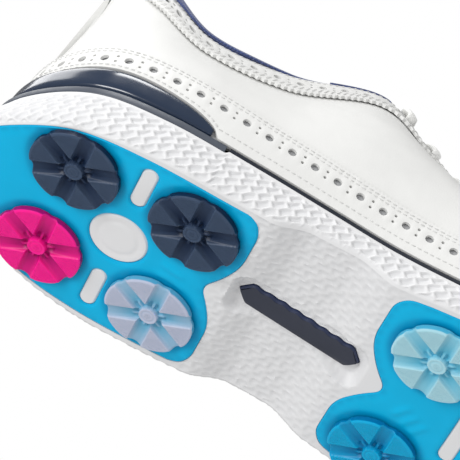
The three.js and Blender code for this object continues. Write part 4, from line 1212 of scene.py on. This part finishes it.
def sole_underside(build, edge, pockets):
    """The bottom face round the pockets: scales on waist and toe, a raised skin and a scoop by the bar."""
    bar_end = BAR_X - BAR_LENGTH / 2
    scoop = np.stack([bar_end - np.linspace(1, 8, 12), np.full(12, -4.0)], 1)
    flat, faces, label = flat_sheet(edge[:, :2], pockets, 0.65 * COARSE, clear=0.5, extra=scoop)
    x, y = flat.T
    aside = y - bar_middle(x)
    zones = smooth(x, 84, 92) - smooth(x, 130, 140) + smooth(x, 242, 248)
    relief = scales(x, -y, 4.5, 2.7, math.radians(-46), 0.24) * zones * (label != 0)
    recess = 1.5 * bump(x, bar_end - 3.5, 3.4) * bump(aside, 0, 2.6) * (label < 0)
    along_bar = np.maximum(np.abs(x - BAR_X) - BAR_LENGTH / 2 + 2, 0)
    beside_bar = np.maximum(np.abs(aside) - BAR_WIDTH / 2, 0)
    near_bar = 1 - smooth(np.hypot(along_bar, beside_bar), 1.5, 7.0)
    z = np.maximum(sole_bottom(x), mix(0, BAR_SURROUND, near_bar)) + 0.5 * relief + recess * 0.5
    on_edge = label == 0
    nearest = np.argmin(((flat[on_edge][:, None, :] - edge[None, :, :2]) ** 2).sum(-1), 1)
    z[on_edge] = edge[nearest, 2]
    # Painted shade in the scales' hollows.
    build.add(np.column_stack([flat, z]), faces[:, ::-1], relief * 0.35)


def window(build, loop, roof, groove):
    """A white island that stands in a window of a plate."""
    inset = offset(loop, -0.5)
    build.wall(loop, WINDOW_EDGE, roof, turned=True)
    build.wall(loop, WINDOW_EDGE, sole_bottom(inset[:, 0]), other=inset)
    flat, faces, _ = flat_sheet(inset, [], 0.9)
    ring = bump(np.hypot(flat[:, 0] - WINDOW_X, flat[:, 1]), 6.4, 0.5)
    build.add(np.column_stack([flat, sole_bottom(flat[:, 0]) + groove * ring]), faces[:, ::-1])


def pocket(build, loop, windows, roof, least):
    """A pocket of the sole, with a mouth for each socket and an island for each window."""
    # Painted shade on the pocket's walls and roof and round the socket mouths.
    build.wall(loop, np.maximum(least, sole_bottom(loop[:, 0])), roof, 0.3)
    low, high = loop[:, 0].min(), loop[:, 0].max()
    mouths = [circle_loop(x, y, SOCKET_RADIUS + GAP, 40) for x, y, _ in CLEATS.values() if low < x < high]
    build.fill(loop, windows + mouths, 4.0, roof, 0.6)
    for mouth in mouths:
        build.wall(mouth, roof, SOCKET_TOP + GAP, 0.6)
        build.add(np.column_stack([mouth, np.full(40, SOCKET_TOP + GAP)]), [list(range(40))[::-1]], 0.6)
    for number, island in enumerate(windows):
        window(build, island, roof, 0.28 if len(windows) == 3 and number == 0 else 0)


def outsole():
    """The white moulding: scaled side, underside with its pockets, and a top with the cushion's pocket."""
    build = Build()
    edge = sole_side(build)
    heel, ball = offset(heel_plate_outline(), GAP), offset(ball_plate_outline(), GAP)
    middle = bar_outline(GAP)
    sole_underside(build, edge, [heel, ball, middle])
    pocket(build, heel, heel_windows(GAP), PLATE_TOP + GAP, 0)
    pocket(build, ball, ball_windows(GAP), PLATE_TOP + GAP, 0)
    pocket(build, middle, [], BAR_BOTTOM + BAR_THICKNESS + GAP, BAR_SURROUND)
    ribs = np.linspace(0, ROUND, 241)[:-1]
    lip_loop = (feather(ribs) + outward(ribs) * lip(ribs)[:, None])[:, :2]
    cushion = cushion_outline(GAP)
    build.fill(lip_loop, [cushion], 3.0, sole_top_at, up=True)
    build.wall(cushion, CUSHION_FLOOR, sole_top_at(cushion[:, 0]))
    build.fill(cushion, [], 4.0, CUSHION_FLOOR, up=True)
    build.made("outsole_moulding", "sole_white", "outsole", sharp=40)


outsole()

RIDGES = [  # moulded ridges of the plates: x, y, direction in degrees, length, width
    (38, 4.5, 8, 13, 1.3), (76, 5, 8, 12, 1.3), (75, 0, 8, 10, 1.2), (188, 0, 0, 16, 1.2),
    (222, 2, 0, 16, 1.2),
    (152.5, 3.5, -59, 10, 1.1), (156, 5.4, -59, 10, 1.1), (159.5, 7.3, -59, 10, 1.1),
]


def plate(name, outline, windows):
    """A plate: eased edges, raised ridges, and painted shade that deepens round each cleat and along its
    edge.
    """
    cleats = arr([CLEATS[key][:2] for key in CLEATS if key.startswith(name)])
    holes = windows + [circle_loop(x, y, SOCKET_RADIUS + GAP, 48) for x, y in cleats]
    outline = offset(outline, PLATE_GROWN)
    inner_outline, inner_holes = offset(outline, -0.5), [offset(h, 0.5) for h in holes]
    flat, faces, label = flat_sheet(inner_outline, inner_holes, 0.8 * COARSE)
    x, y = flat.T
    lift = np.zeros(len(flat))
    for rx, ry, turn, length, width in RIDGES:
        c, s = math.cos(math.radians(turn)), math.sin(math.radians(turn))
        u, v = (x - rx) * c + (y - ry) * s, (ry - y) * c + (x - rx) * s
        lift = np.maximum(lift, 0.5 * bump(v, 0, width) * smooth(length / 2 - np.abs(u), 0, 3))
    away = np.min([np.hypot(x - cx, y - cy) for cx, cy in cleats], 0)
    edge = np.min([np.hypot(*(flat - p).T) for p in outline[::4]], 0)
    # Painted shade: darker round each cleat and near the edge; the walls and the top take set shares.
    shade = 0.75 * (1 - smooth(away, 13.5, 17.5)) + 0.25 * (1 - smooth(edge, 0.5, 3))
    lift = (lift + 0.25 * smooth(edge, 1, 4)) * (label < 0)
    face_z = PLATE_BOTTOM + 0.12
    build = Build()
    build.add(np.column_stack([flat, face_z - lift * 0.8 * smooth(away, 14.6, 16)]), faces[:, ::-1], shade)
    for outer, inner in [(outline, inner_outline)] + list(zip(holes, inner_holes)):
        outermost = outer is outline
        build.wall(inner, face_z, PLATE_EDGE, 0.2, other=outer, turned=outermost)
        build.wall(outer, PLATE_EDGE, PLATE_TOP, 0.3, turned=outermost)
    build.fill(outline, holes, 4, PLATE_TOP, 0.4, up=True)
    build.made(name + "_plate_moulding", "plate_blue", name + "_plate", sharp=40)


plate("heel", heel_plate_outline(), heel_windows(PLATE_GROWN))
plate("ball", ball_plate_outline(), ball_windows(PLATE_GROWN))


def bar():
    """The pointed bar in the waist, with one scalloped side and an eased face."""
    loop = bar_outline(0)
    inset = offset(loop, -0.45)
    build = Build()
    flat, faces, _ = flat_sheet(inset, [], 1.0)
    crown = 0.35 * smooth(BAR_WIDTH / 2 - np.abs(flat[:, 1] - bar_middle(flat[:, 0])), 0.4, 2.2)
    build.add(np.column_stack([flat, BAR_BOTTOM + 0.35 - crown]), faces[:, ::-1])
    # Painted shade on the bar's eased edge and its side.
    build.wall(inset, BAR_BOTTOM + 0.35, BAR_BOTTOM + 0.8, 0.8, other=loop, turned=True)
    build.wall(loop, BAR_BOTTOM + 0.8, BAR_BOTTOM + BAR_THICKNESS, 1.0, turned=True)
    build.fill(loop, [], 2.0, BAR_BOTTOM + BAR_THICKNESS, up=True)
    build.made("shank_bar_moulding", "bar_navy", "shank_bar", sharp=40)


bar()

# ---- Cleats ----


HUB_RADIUS, WELL_RADIUS, THREADS, THREAD_STEP, CLEAT_BACK = 3.0, 2.6, 8, 0.42, 2.3


def groove_cuts(x, y, r, turns):
    """How deep the six ramped grooves go, with a rib and a pair of wrench holes in each."""
    depth = np.zeros_like(x)
    for turn in turns:
        ahead, aside = x * np.cos(turn) + y * np.sin(turn), np.abs(y * np.cos(turn) - x * np.sin(turn))
        channel = 1 - smooth(aside, 0.9, 2.5) * 0.45 - smooth(aside, 2.05, 2.5) * 0.55
        ramp = 0.95 + 0.75 * (1 - smooth(ahead, 3, 12))
        rib = (1 - smooth(aside, 0.25, 0.6)) * (1 - smooth(ahead, 4.4, 6.0)) * 0.4
        hole = (1 - smooth(np.hypot((ahead - 4.3) / 1.3, (aside - 1.25) / 0.8), 0.4, 1.0)) * 0.35
        here = (ahead > 0) & (r > WELL_RADIUS)
        depth = np.maximum(depth, np.where(here, channel * (ramp * (1 - rib) + hole), 0))
    return depth


def cleat(name):
    """A soft cleat: six wedge pads between its grooves, a plain hub, and a threaded post behind."""
    cx, cy, color = CLEATS[name]
    around, rings = ((300, 56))
    turn = np.arange(around) * 2 * np.pi / around
    grooves = np.radians(30 + 60 * np.arange(6))
    across = np.min([np.abs(np.sin(turn - g)) + 9 * (np.cos(turn - g) < 0) for g in grooves], 0)
    across = across * CLEAT_RADIUS
    edge = CLEAT_RADIUS - 0.7 * bump(across, 0, 1.7) - 0.12 * bump(across, 3.0, 0.7)
    r = np.linspace(0.02, 1, rings)[:, None] * edge
    x, y = r * np.cos(turn), r * np.sin(turn)
    hub = 1 - smooth(r, HUB_RADIUS - 0.15, HUB_RADIUS + 0.15)
    depth = groove_cuts(x, y, r, grooves) * (1 - hub) + 0.18 * bump(r, 1.9, 0.25) * hub
    ease = smooth(edge - r, 0, 0.6)
    z = np.minimum(depth + 0.35 * (1 - ease) ** 2, 2.05)
    behind = [(edge, np.minimum(z[-1] + 0.35, 2.1)), (edge + 0.05, 2.12), (edge - 0.3, CLEAT_BACK),
              (POST_RADIUS, CLEAT_BACK)]
    behind += [(POST_RADIUS - (0.45 if k % 2 else 0.05), CLEAT_BACK + 0.3 + k * THREAD_STEP)
               for k in range(THREADS)]
    behind += [(POST_RADIUS - 0.6, POST_TOP), (0.25, POST_TOP)]
    rest = np.stack([np.stack([radius * np.cos(turn), radius * np.sin(turn), height + 0 * edge], -1)
                     for radius, height in behind])
    points, faces = tube(np.concatenate([np.stack([x, y, z], -1), rest])[:, ::-1])
    # Painted shade: darker with the grooves' depth, and fully on the side wall, the back and the post.
    shade = np.concatenate([np.clip(depth / 1.5, 0, 1) * 0.9, np.ones((len(rest), around))])[:, ::-1]
    node = "cleat_" + name
    piece(node + "_moulding", points + np.array([cx, cy, 0]), faces, "cleat_" + color, node,
          body=node, attributes={"shade": shade.ravel()}, sharp=38)


for name in CLEATS:
    cleat(name)

# ---- Tongue, lace and insole ----

TONGUE_DEPTH, TONGUE_TUCK, TONGUE_FREE = 7.3, 10.0, 17.0
TONGUE_THICKNESS, TONGUE_FRONT_RIB, TONGUE_CROWN = 1.4, 10.4, 2.5
TONGUE_ACROSS = 41  # points of a line across it


def catmull(points, count):
    """Points evenly spaced along a centripetal curve through the given ones."""
    p = np.concatenate([[2 * points[0] - points[1]], points, [2 * points[-1] - points[-2]]])
    out = []
    for a, b, c, d in zip(p[:-3], p[1:-2], p[2:-1], p[3:]):
        gaps = [max(np.linalg.norm(n - m), 1e-6) ** 0.5 for m, n in ((a, b), (b, c), (c, d))]
        t1 = (b - a) / gaps[0] - (c - a) / (gaps[0] + gaps[1]) + (c - b) / gaps[1]
        t2 = (c - b) / gaps[1] - (d - b) / (gaps[1] + gaps[2]) + (d - c) / gaps[2]
        t = np.linspace(0, 1, 40, endpoint=False)[:, None]
        out.append(cubic(b, c, t1 * gaps[1], t2 * gaps[1], t))
    fine = np.concatenate(out + [points[-1:]])
    along = travelled(fine)
    return np.stack([np.interp(np.linspace(0, along[-1], count), along, fine[:, k]) for k in range(3)], 1)


def spot(rib, height, out):
    return form(arr([rib]), arr([height]), arr([out]))[0]


def outward_at(rib, height):
    return spot(rib, height, 1) - spot(rib, height, 0)


def tongue_line(rib, depth):
    """A line across the tongue, under both facings, at a depth below the form."""
    outer = [spot(rib, top(rib) - TONGUE_TUCK, -depth), spot(rib, top(rib), -depth)]
    far = ROUND - rib
    inner = [spot(far, top(far), -depth), spot(far, top(far) - TONGUE_TUCK, -depth)]
    crown = (outer[1] + inner[0]) / 2 + UP * TONGUE_CROWN
    return catmull(arr([*outer, crown, *inner]), TONGUE_ACROSS)


def tongue_lines(depth, held=60, free=20):
    """The tongue's surface at a depth: under the throat, then free above the top eyelets."""
    lines = [tongue_line(rib, depth) for rib in np.linspace(TONGUE_FRONT_RIB, THROAT_REAR, held + 1)]
    last = lines[-1]
    corners = np.linspace(-1, 1, TONGUE_ACROSS) ** 4
    for share in np.linspace(0, 1, free + 1)[1:]:
        narrowed = mix(last, last[TONGUE_ACROSS // 2], 0.3 * share**3)
        reach = TONGUE_FREE * share * (1 - 0.1 * share * corners)  # the free edge is rounded at its corners
        lines.append(narrowed + TONGUE_CLIMB * reach[:, None])
    return np.array(lines)


tongue_ends = [tongue_line(rib, TONGUE_DEPTH)[TONGUE_ACROSS // 2] for rib in (THROAT_REAR + 0.4, THROAT_REAR)]
TONGUE_CLIMB = unit(unit(tongue_ends[1] - tongue_ends[0]) * 0.55 + UP * 0.45)


def tongue_layer(name, depth, thickness, slot, puff):
    """A layer of the tongue: outer face at a depth, and an inner face that puffs between its edges."""
    outer, full = tongue_lines(depth), tongue_lines(depth + thickness)
    rows = len(outer)
    u, v = np.linspace(-1, 1, TONGUE_ACROSS)[None, :], np.linspace(0, 1, rows)[:, None]
    edge = (1 - np.abs(u) ** 6) * smooth(v, 0, 0.06) * smooth(1 - v, 0, 0.07)
    channels = 1 - 0.3 * puff * (bump(u, -0.5, 0.05) + bump(u, 0.5, 0.05) + bump(u, 0, 0.05))
    inner = mix(outer, full, (mix(1.0, (0.3 + 0.7 * edge) * channels, puff))[..., None])
    middle = (outer + inner) / 2
    side = unit(outer[:, :1] - outer[:, 1:2]) * thickness * 0.3
    sections = np.concatenate([middle[:, :1] + side, outer, middle[:, -1:] - side, inner[:, ::-1]], 1)
    return piece(name, *tube(sections[:, ::-1]), slot, name)


tongue_layer("tongue", TONGUE_DEPTH, TONGUE_THICKNESS, "upper_leather", 0.0)
pad = tongue_layer("tongue_pad", TONGUE_DEPTH + TONGUE_THICKNESS + GAP, 4.0, "lining_fabric", 1.0)

# The lace at one side of a row: height below the top edge, distance out, width and thickness.
LACE_STATIONS = [(EYELET_INSET, -4.1, 3.0, 2.0), (EYELET_INSET, -0.85, 2.0, 2.0), (6.0, 3.2, 3.4, 1.9),
                 (1.0, 3.0, 6.4, 1.5)]
LACE_MIDDLE, LACE_CROWN = [6.6, 1.4], 1.5  # width and thickness over the tongue, and its rise there


def lace():
    """One flat woven lace in straight bars, gathered where it goes through the eyelets."""
    stops = []  # place, direction out, and size, one row for each stop
    for row, rib in enumerate(EYELET_RIBS):
        near, far = ([(spot(r, top(r) - down, out), outward_at(r, top(r) - down), size)
                      for down, out, *size in LACE_STATIONS] for r in (rib, ROUND - rib))
        crown = (near[-1][0] + far[-1][0]) / 2 + UP * LACE_CROWN
        across = [*near, (crown, UP, LACE_MIDDLE), *far[::-1]]
        stops += across[::-1] if row % 2 else across
    points, facing, sizes = (arr(values) for values in zip(*stops))
    count = 1500
    line = catmull(points, count)
    nearest = np.maximum.accumulate([int(np.argmin(((line - p) ** 2).sum(1))) for p in points])
    nearest = nearest + np.arange(len(nearest)) * 1e-3
    at = np.arange(count)
    blend = lambda values: np.stack([np.interp(at, nearest, values[:, k]) for k in range(values.shape[1])], 1)
    ahead = unit(np.gradient(line, axis=0))
    out = blend(facing)
    out = unit(out - (out * ahead).sum(1)[:, None] * ahead)
    across = np.cross(ahead, out)
    width, thick = blend(sizes).T
    turn = np.arange(28) * 2 * np.pi / 28
    c, s = np.cos(turn), np.sin(turn)
    x, y = np.sign(c) * np.abs(c) ** 0.8, np.sign(s) * np.abs(s) ** 0.6
    length = travelled(line)[:, None]
    weave = 0.06 * np.cos(length / 1.1 * 2 * np.pi + np.abs(x) * 7) + 0.05 * np.cos(x * 16)
    sections = (line[:, None] + across[:, None] * (x * width[:, None] / 2)[..., None]
                + out[:, None] * (y * (thick[:, None] / 2 + weave))[..., None])
    piece("lace", *tube(sections), "lace_fabric", "lace", sharp=None)


lace()


def slab(name, loop, low, high, slot, edge=0.8, dish=0.0):
    """A soft slab with eased edges and a slightly dished top."""
    build = Build()
    inset = offset(loop, -edge)
    flat, faces, _ = flat_sheet(inset, [], 2.5)
    away = np.min([np.hypot(*(flat - p).T) for p in inset[::3]], 0)
    hollow = dish * (smooth(away, 0, 14) - 0.35 * smooth(away, 0, 3))
    build.add(np.column_stack([flat, high(flat[:, 0]) - hollow]), faces)
    build.add(np.column_stack([flat, low(flat[:, 0])]), faces[:, ::-1])
    upper, lower = high(inset[:, 0]), low(inset[:, 0])
    rim = [np.column_stack([offset(loop, -edge * (1 - math.sin(t))),
                            mix(upper, lower, (1 - math.cos(t)) / 2)]) for t in np.linspace(0, np.pi, 9)]
    build.add(np.concatenate(rim), grid_faces(len(rim), len(loop), False, True))
    return build.made(name, slot, name)


def sockliner_loop():
    ribs = np.linspace(0, ROUND, 400, endpoint=False)
    reach = arr([float(lining_out(rib)) for rib in ribs]) - LINING - 0.5 - 2.4 * bump(ribs, TOE, 2.2)
    return even_loop((feather(ribs) + outward(ribs) * reach[:, None])[:, :2], 1.5)


INSOLE, SOCKLINER = 2.2, 4.0  # the board with its clearances, and the sockliner on it
liner = slab("sockliner", sockliner_loop(), lambda x: board_bottom_at(x) + INSOLE,
             lambda x: board_bottom_at(x) + INSOLE + SOCKLINER, "sockliner_fabric", edge=1.2, dish=0.9)
cushion = slab("heel_cushion", cushion_outline(0), lambda x: CUSHION_FLOOR + GAP + 0 * x,
               lambda x: np.maximum(sole_top_at(x), 11.0), "cushion_foam")

SLOTS = {part["node"]: part["material_slot"] for part in frame["record"]["subparts"]}
for name, node in frame["nodes"].items():
    if not node.hide_render:
        node.data.materials.clear()
        node.data.materials.append(FINISHES[SLOTS[name]])

# ---- Camera and stage ----

CAMERA_RIGHT, CAMERA_UP = arr([0.8677, -0.3315, 0.3703]), arr([-0.4969, -0.5936, 0.6330])
CAMERA_PLACE, CAMERA_LENS = arr([93.7, -770.8, -686.8]), 279.67
FLOOR, WHITE = 3, 0.92
AMBIENT, BACKDROP, MIRRORED = 0.75, 1.0, 0.25  # the studio's light, its picture, and its reflections' share


def camera():
    """The photograph's camera, solved from its two rear pairs of cleats."""
    right = unit(CAMERA_RIGHT)
    up = unit(CAMERA_UP - right * CAMERA_UP.dot(right))
    back = np.cross(right, up)
    place = (CAMERA_PLACE + SHIFT) * MM
    data = bpy.data.cameras.new("camera")
    data.lens = CAMERA_LENS
    data.sensor_width = 36
    data.clip_end = 10
    holder = bpy.data.objects.new("camera", data)
    rows = [[right[k], up[k], back[k], place[k]] for k in range(3)]
    holder.matrix_world = Matrix(rows + [[0, 0, 0, 1]])
    bpy.context.scene.collection.objects.link(holder)
    bpy.context.scene.camera = holder


def stage():
    """A pale floor that is clear from below, and an even white studio."""
    mesh = bpy.data.meshes.new("floor")
    mesh.from_pydata([(-FLOOR, -FLOOR, 0), (FLOOR, -FLOOR, 0), (FLOOR, FLOOR, 0), (-FLOOR, FLOOR, 0)], [],
                     [(0, 1, 2, 3)])
    floor = bpy.data.objects.new("floor", mesh)
    bpy.context.scene.collection.objects.link(floor)
    material = bpy.data.materials.new("floor")
    tree = Tree(material)
    shader = tree.nodes["Principled BSDF"]
    shader.inputs["Base Color"].default_value = (WHITE, WHITE, WHITE, 1)
    shader.inputs["Roughness"].default_value = 0.9
    either = tree.node("ShaderNodeMixShader", {
        0: tree.node("ShaderNodeNewGeometry").outputs["Backfacing"], 1: shader.outputs[0],
        2: tree.node("ShaderNodeBsdfTransparent").outputs[0]})
    tree.links.new(either.outputs[0], tree.nodes["Material Output"].inputs["Surface"])
    mesh.materials.append(material)
    floor.visible_shadow = floor.visible_diffuse = floor.visible_glossy = False
    floor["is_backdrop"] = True
    world = bpy.data.worlds.new("studio")
    tree = Tree(world)
    rays = tree.node("ShaderNodeLightPath").outputs
    shares = [tree.node("ShaderNodeMapRange", {"Value": rays[ray], "To Min": other, "To Max": own}).outputs[0]
              for ray, other, own in (("Is Camera Ray", AMBIENT, BACKDROP), ("Is Glossy Ray", 1, MIRRORED))]
    strength = tree.node("ShaderNodeMath", {0: shares[0], 1: shares[1]}, operation="MULTIPLY")
    background = tree.nodes["Background"]
    background.inputs["Color"].default_value = (1, 1, 1, 1)
    tree.links.new(strength.outputs[0], background.inputs["Strength"])
    bpy.context.scene.world = world


def light(name, place, target, size, power):
    data = bpy.data.lights.new(name, "AREA")
    data.shape = "RECTANGLE"
    data.size, data.size_y = size
    data.energy = power
    made = bpy.data.objects.new(name, data)
    made.location = place
    made.rotation_euler = (Vector(target) - Vector(place)).to_track_quat("-Z", "Y").to_euler()
    bpy.context.scene.collection.objects.link(made)


camera()
stage()
light("key", (-0.9, -0.7, -0.5), (0, 0, 0.03), (0.5, 0.5), 7)
light("top", (-0.52, -0.5, 0.82), (-0.1, 0, 0.03), (0.4, 0.3), 3)
light("rim", (-0.72, 0.2, 0.9), (-0.1, 0, 0.03), (0.6, 0.5), 2.2)
bpy.context.scene.view_settings.view_transform = "Standard"

low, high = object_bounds()
